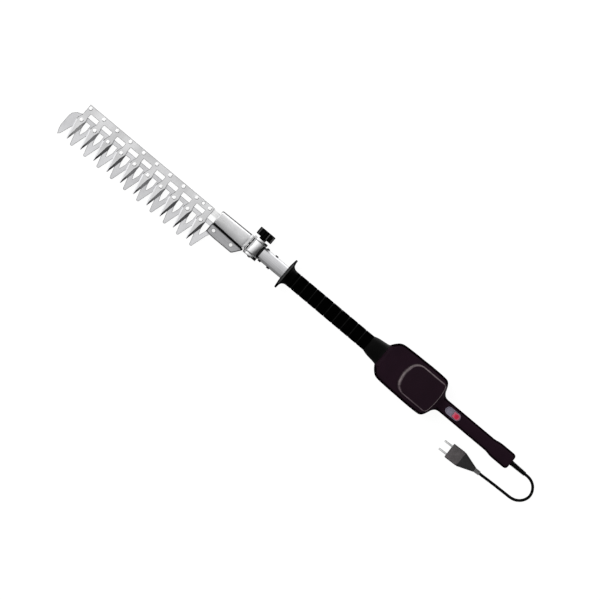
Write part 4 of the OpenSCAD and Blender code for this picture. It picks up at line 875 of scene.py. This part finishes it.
RINGS = 9
RING_DEPTH = 0.8
RING_STEP = (COLLAR_FRONT - GRIP_FRONT) / (RINGS + 0.3)
grip_side = [(GRIP_FRONT, GRIP_R - 0.4), (GRIP_FRONT + 0.4, GRIP_R)]
for i in range(RINGS):
    x = GRIP_FRONT + RING_STEP * (i + 0.32)
    grip_side += [(x - 0.5, GRIP_R), (x, GRIP_R - RING_DEPTH), (x + 1.6, GRIP_R - RING_DEPTH),
                  (x + 2.1, GRIP_R)]
grip_side += [(COLLAR_FRONT - 0.4, GRIP_R), (COLLAR_FRONT, GRIP_R - 0.4)]
grip = sleeve("ringed_grip", grip_side, [grip_rubber, ring_rubber], "grip_sleeve",
              96, 0.3)
for p in grip.data.polygons:
    y, z = p.center.y / MM, p.center.z / MM - AXIS_Z
    p.material_index = 1 if math.hypot(y, z) < GRIP_R - 0.2 and abs(p.normal.x) < 0.9 else 0

# (share of its length, share of its gain in radius)
collar_rise = [(0, 0.05), (0.06, 0.12), (0.17, 0.28), (0.28, 0.41), (0.44, 0.53), (0.72, 0.68),
               (0.89, 0.8), (1, 1)]
COLLAR_GAIN = 7.5
COLLAR_LENGTH = HOUSING_FRONT - COLLAR_FRONT
collar_side = [(COLLAR_FRONT + COLLAR_LENGTH * i / 24,
                GRIP_R + COLLAR_GAIN * curve_through(collar_rise, i / 24)) for i in range(25)]
sleeve("neck_collar", [(COLLAR_FRONT, 17)] + collar_side, collar_plastic,
       "collar", 96, 0.3)

# ----------------------------------------------------------------- housing

SHELL_TOP = 66.5
WALL = 3.0
PARTING = 0.12
HOUSING_HALF_W = 46
HOUSING_ENDS = (HOUSING_FRONT, HOUSING_REAR)
SIDE_LOW, SIDE_HIGH = 14, 52.5    # where its rounded edges leave its sides
SIDE_ROUND = 8                    # and how far they go in
# (share of its length, share of its half width)
housing_shape = [(0, 0.554), (0.049, 0.757), (0.125, 0.93), (0.278, 0.974), (0.486, 0.989),
                 (0.66, 1), (0.84, 0.991), (0.92, 0.95), (0.965, 0.8), (1, 0.543)]


def housing_plan():
    """Plan of the motor housing: one side, then the other."""
    side = [(HOUSING_FRONT + p.x * (HOUSING_REAR - HOUSING_FRONT), p.y * HOUSING_HALF_W)
            for p in catmull([(*s, 0) for s in housing_shape], 6)]
    across = [i / 6 for i in range(1, 6)]
    rear = [(HOUSING_REAR, side[-1][1] * (1 - 2 * t)) for t in across]
    front = [(HOUSING_FRONT, side[0][1] * (2 * t - 1)) for t in across]
    loop = side + rear + [(x, -y) for x, y in reversed(side)] + front
    return loop[::-1]


plan = housing_plan()
HANDLE_FRONT, HANDLE_REAR = 58, 265
HANDLE_LOW = 19
# (place, half width) and (place, half height) of the neck and handle
handle_half_w = [(HANDLE_FRONT, 27), (72, 26), (74, 24.6), (76, 21.6), (78, 19.2), (80, 17.4), (84, 15.5),
                 (88, 14.9), (92, 14.8), (208, 14.8), (214, 15.4), (222, 17), (229, 17.6), (258, 17.6),
                 (262, 16.6), (264.3, 14.4), (HANDLE_REAR, 12.5)]
handle_half_h = [(HANDLE_FRONT, 26), (70, 25.4), (74, 22.8), (78, 19.4), (84, 17), (92, 16), (208, 16),
                 (216, 16.4), (226, 17.4), (258, 17.5), (262, 16.5), (264.3, 14.2), (HANDLE_REAR, 12)]
# closer together where the shape turns
HANDLE_XS = [HANDLE_FRONT, 64, 68, *range(70, 94), *range(96, 208, 8), *range(208, 262, 2),
             262, 263, 263.8, 264.4, 264.8, HANDLE_REAR]


def handle(wall=0.0, first=HANDLE_FRONT, last=HANDLE_REAR):
    """The rear handle and its neck as one solid, or what a wall leaves inside them."""
    out = []
    for x in HANDLE_XS:
        if first <= x <= last:
            w, h = curve_through(handle_half_w, x), curve_through(handle_half_h, x)
            r = min(11.0, 0.72 * w, 0.72 * h)
            out.append([(x, y, AXIS_Z + z)
                        for y, z in rounded(w - wall, h - wall, r - min(wall, r - 1))])
    return lofted(out)


def half_box(low):
    """What a shell loses: all above the parting line for the lower one, all below it for the upper."""
    z = (AXIS_Z - PARTING, 200) if low else (-200, AXIS_Z + PARTING)
    return box(-400, 400, -200, 200, *z)


SWITCH_X = 95
SWITCH_LENGTH = 36
SWITCH_WIDTH = 15.66


def switch_plan(clearance=0.0):
    """The switch frame's capsule in plan, or the hole for it."""
    r = (SWITCH_WIDTH + clearance) / 2
    return arc(SWITCH_X + SWITCH_LENGTH - r, 0, r, -90, 90) + arc(SWITCH_X + r, 0, r, 90, 270)


def bar(x0, x1, r, sides):
    """A round bar on the tool's axis."""
    return turned([(x0, ON_AXIS), (x0, r), (x1, r), (x1, ON_AXIS)], "x", AXLE, sides)


WELL_R = 3.9
WELL_DEPTH = 1.5


def screw_well(x, y):
    """The hole for a screw's head: under the housing, or higher up under the handle."""
    end = (HANDLE_LOW if x > HANDLE_FRONT else 0) + WELL_DEPTH
    return turned([(-2, ON_AXIS), (-2, WELL_R), (end, WELL_R), (end, ON_AXIS)], "z", (x, y, 0), 32)


NOSE_R = 24.9
CORD_BORE = 5.5
VENTS = 7
VENT_FRONT = 8
VENT_STEP = 6
VENT_WIDTH = 2.4
VENT_LOW, VENT_HIGH = 19, 31
SCREW_SPOTS = [(-50, 30), (-50, -30), (50, 33), (50, -33), (148, 0), (246, 10.2), (246, -10.2)]
HOUSING_MATS = [housing_plastic, housing_shade_side, housing_shade_edge]

body = stacked(plan, rim(SIDE_LOW, 0, SIDE_ROUND)[::-1] + [(SIDE_LOW, 0), (AXIS_Z, 0), (SIDE_HIGH, 0)]
               + rim(SIDE_HIGH, SHELL_TOP, SIDE_ROUND), HOUSING_ENDS)
added = [handle(), bar(HOUSING_FRONT, HOUSING_FRONT + 8, NOSE_R, 96)]
hollow = stacked(plan, [(WALL, 9), (15, WALL), (52, WALL), (SHELL_TOP - WALL, 9)], HOUSING_ENDS)
inside = [hollow, handle(WALL, 64, 256), bar(-80, -60, BORE, 64), bar(250, 270, CORD_BORE, 48)]
wells = [screw_well(x, y) for x, y in SCREW_SPOTS]
vents = [box(x, x + VENT_WIDTH, side * 36, side * 60, VENT_LOW, VENT_HIGH)
         for x in [VENT_FRONT + i * VENT_STEP for i in range(VENTS)] for side in (-1, 1)]
switch_hole = stacked(switch_plan(0.04), [(47, 0), (60, 0)])

for half, is_low, own_cuts in (("lower", True, wells + vents), ("upper", False, [switch_hole])):
    shell = put("housing_shell_" + half, carve(body, added, [half_box(is_low)] + inside + own_cuts),
                HOUSING_MATS, "root", ["housing_" + half], 32)
    # painted shade: darker plastic where the housing turns down to its sides
    for p in shell.data.polygons:
        at_side = abs(p.normal.y) > 0.4
        p.material_index = 2 if at_side and p.normal.z < 0.45 else 1 if at_side and p.normal.z < 0.8 else 0

# ----------------------------------------------------------- raised cover

PANEL_FRONT, PANEL_REAR, PANEL_HALF_W = -18.0, 72.4, 36.2


def panel_plan():
    """Plan of the raised cover: bulging ends, and rounder corners in front than behind."""
    x0, x1, w = PANEL_FRONT, PANEL_REAR, PANEL_HALF_W
    front_x, front_r = x0 + 27.6, 26
    rear_x, rear_r = x1 - 14.2, 12
    front = [(x0 + 0.8, 9), (x0 + 0.25, 4.5), (x0, 0), (x0 + 0.25, -4.5), (x0 + 0.8, -9)]
    rear = [(x1 - 0.9, -16), (x1 - 0.3, -8), (x1, 0), (x1 - 0.3, 8), (x1 - 0.9, 16)]
    return (rear + arc(rear_x, w - rear_r, rear_r, 4, 90) + arc(front_x, w - front_r, front_r, 90, 174)
            + front + arc(front_x, front_r - w, front_r, 186, 270)
            + arc(rear_x, rear_r - w, rear_r, 270, 356))


def cover_ring(z, d):
    """The cover's plan at a height, going in more on some sides than on others."""
    base = panel_plan()
    out = []
    for i, p in enumerate(base):
        t = Vector(base[(i + 1) % len(base)]) - Vector(base[i - 1])
        t.normalize()
        # the outward side is (t.y, -t.x)
        reach = d * (1 + 0.5 * max(0.0, -t.y) - 0.55 * max(0.0, t.y) - 0.35 * max(0.0, -t.x))
        out.append((p[0] - t.y * reach, p[1] + t.x * reach, z))
    return out


# where the painted highlight on the cover's rim starts, and its middle between two heights
RIM_START = 67.9
RIM_LOW, RIM_HIGH = 68.8, 69.5
cover = lofted([cover_ring(z, d) for z, d in (
    (66.0, 0), (67.7, 0), (68.2, 0.35), (RIM_LOW, 1.5), (RIM_HIGH, 3.8), (70, 5.2))])
raised_cover = piece("raised_cover", cover, [panel_plastic, rim_highlight_full, rim_highlight_half, rim_highlight_faint], "root",
                     ["motor_cover"], 20)
for p in raised_cover.data.polygons:
    # painted highlight: the rim is palest in front and on the knob's side, where it faces the light
    z = p.center.z / MM
    n = p.normal
    across = math.hypot(n.x, n.y)
    if across < 0.05 or z < RIM_START:
        continue
    facing = (-0.8 * n.x + 0.6 * n.y) / across
    in_middle = RIM_LOW < z < RIM_HIGH
    if facing > 0.3:
        p.material_index = 1 if in_middle else 2 if z > RIM_HIGH else 3
    elif n.x / across > 0.75:
        p.material_index = 1 if in_middle else 0
    elif facing > -0.3:
        p.material_index = 2 if in_middle else 3
    else:
        p.material_index = 2 if in_middle else 0

dress("housing_screws", screw_steel, bevel=0.3)

# ----------------------------------------------------------------- switch

frame_levels = ((47, 0), (51.4, 0), (51.8, 0.35), (51.8, 0.85), (51.5, 1.2), (49.05, 1.3))
piece("switch_frame", stacked(switch_plan(), frame_levels), switch_grey, "root",
      ["switch_bezel"])

BUTTON_FRONT, BUTTON_ROUND_X = 113.6, 123.15
BUTTON_R = 6.35
BUTTON_TOP = 54
CORE_X, CORE_R = 121.8, 4.7
# the button in plan: round behind, straight in front
button_plan = arc(BUTTON_ROUND_X, 0, BUTTON_R, -90, 90, 18) + [
    (BUTTON_FRONT, BUTTON_R - 0.8), (BUTTON_FRONT, 0), (BUTTON_FRONT, 0.8 - BUTTON_R)]
button = stacked(button_plan, [(49.3, 0), (52.9, 0)] + rim(52.9, BUTTON_TOP, 1.1, 4))
core = turned([(53.7, ON_AXIS), (53.7, CORE_R), (54.1, CORE_R), (54.3, CORE_R - 0.3),
               (54.4, CORE_R - 1.6), (54.4, ON_AXIS)], "z", (CORE_X, 0, 0), 40)
red_button = piece("red_button", join(button, core), [switch_pink, switch_red], "slider",
                   ["switch_button"])
for p in red_button.data.polygons:
    near = math.hypot(p.center.x / MM - CORE_X, p.center.y / MM) < CORE_R + 0.1
    p.material_index = 1 if near and p.center.z / MM > BUTTON_TOP + 0.05 else 0

dress("switch_body", inner_plastic, bevel=0.3)

# ------------------------------------------------------ strain relief, plug

RELIEF_START, RELIEF_END = 267, 301
RELIEF_R = 5.4
RELIEF_RIBS = 10
relief_side = [(234, ON_AXIS), (234, RELIEF_R), (RELIEF_START, RELIEF_R)]
for i in range(RELIEF_RIBS):
    x = RELIEF_START + 1.5 + i * 3.2
    r = RELIEF_R - (x - RELIEF_START) / (RELIEF_END - RELIEF_START)
    relief_side += [(x, r), (x + 0.3, r - 0.7), (x + 1.0, r - 0.7), (x + 1.3, r)]
relief_side += [(RELIEF_END - 0.4, 4.4), (RELIEF_END, 4.1), (RELIEF_END, ON_AXIS)]
piece("cord_relief", turned(relief_side, "x", AXLE, 48), cord_rubber, "root",
      ["strain_relief"])

PLUG_END = Vector(CORD_ROUTE[-1])
PLUG_TURN = math.radians(2.3)
# places along the plug, from where the cord ends
PLUG_FACE = -76
TAPER_END = -46.9
SLEEVE_RIBS = 4
PIN_SPACING = 19.5
PIN_R = 2
PIN_TIP = -95


def at_plug(part):
    """A part made about the plug's end, with -X towards its pins, moved into place."""
    c, s = math.cos(PLUG_TURN), math.sin(PLUG_TURN)
    return [(PLUG_END.x + x * c - y * s, PLUG_END.y + x * s + y * c, PLUG_END.z + z)
            for x, y, z in part[0]], part[1]


sleeve_side = [(0, ON_AXIS), (0, 4.5)]
for i in range(SLEEVE_RIBS):
    x = -1.4 - i * 2.8
    sleeve_side += [(x, 4.6 + i * 0.08), (x - 0.3, 4.1), (x - 1.1, 4.1), (x - 1.4, 4.65 + i * 0.08)]
sleeve_side += [(-13, 4.9), (-13, ON_AXIS)]
piece("plug_sleeve", at_plug(turned(sleeve_side, "x", (0, 0, 0), 40)), relief_rubber, "root",
      ["plug_relief"])

# (place, half width, half height, corner radius), from the cord over the taper to the pins' face
stations = [(-12, 4.6, 4.6, 4.6), (-12.6, 5.2, 5.2, 5.2)]
stations += [(-13 - 32.4 * t, 5.3 + 11 * t, 5.3 + 2.6 * t, 5.2 + 0.6 * t)
             for t in [i / 11 for i in range(1, 12)]]
stations += [(-46.2, 16.3, 7.9, 5.6), (-47, 16.0, 7.6, 5.2), (-47.6, 16.0, 7.6, 5.2),
             (-48.4, 16.6, 7.95, 5.1), (-50, 16.7, 8, 5), (-74.6, 16.7, 8, 5),
             (-75.6, 16.4, 7.7, 4.8), (PLUG_FACE, 15.8, 7.1, 4.4)]
plug = lofted([[(x, y, z) for y, z in rounded(w, h, r)] for x, w, h, r in stations])
plug_shell = piece("plug_shell", at_plug(plug), [plug_rubber, taper_rubber, plug_shade_side], "root",
                   ["plug_body"], 40)
# painted shade: darker rubber on the plug's sides
for p in plug_shell.data.polygons:
    tapers = p.center.x / MM > PLUG_END.x + TAPER_END
    p.material_index = 2 if p.normal.z < 0.6 else 1 if tapers else 0

pin_side = [(PLUG_FACE + 2, ON_AXIS), (PLUG_FACE + 2, PIN_R), (PIN_TIP + 0.8, PIN_R),
            (PIN_TIP + 0.2, PIN_R - 0.4), (PIN_TIP, PIN_R - 0.9), (PIN_TIP, ON_AXIS)]
pins = [turned(pin_side, "x", (0, y, 0), 24) for y in (PIN_SPACING / 2, -PIN_SPACING / 2)]
piece("pin_pair", at_plug(join(*pins)), pin_metal, "root", ["plug_pins"])

# ---------------------------------------------------------- pieces inside

for name, mat in {
    "pivot_bushes": bronze, "shaft_bushes": nylon, "stator_core": core_iron,
    "field_coils": copper, "brush_holders": bronze, "carbon_brushes": carbon,
    "motor_bearings": shaft_steel, "internal_leads": lead_plastic, "cord_clamp": inner_plastic,
    "motor_shaft": shaft_steel, "armature": core_iron, "commutator": copper,
    "cooling_fan": nylon, "shaft_coupling": nylon, "drive_shaft": shaft_steel,
    "drive_pinion": gear_steel, "pivot_gear": gear_steel, "head_bearings": shaft_steel,
    "crank_bush": bronze, "head_shaft": shaft_steel, "crank_gear": gear_steel,
    "crank_roller": shaft_steel,
}.items():
    dress(name, mat, bevel=0.15)
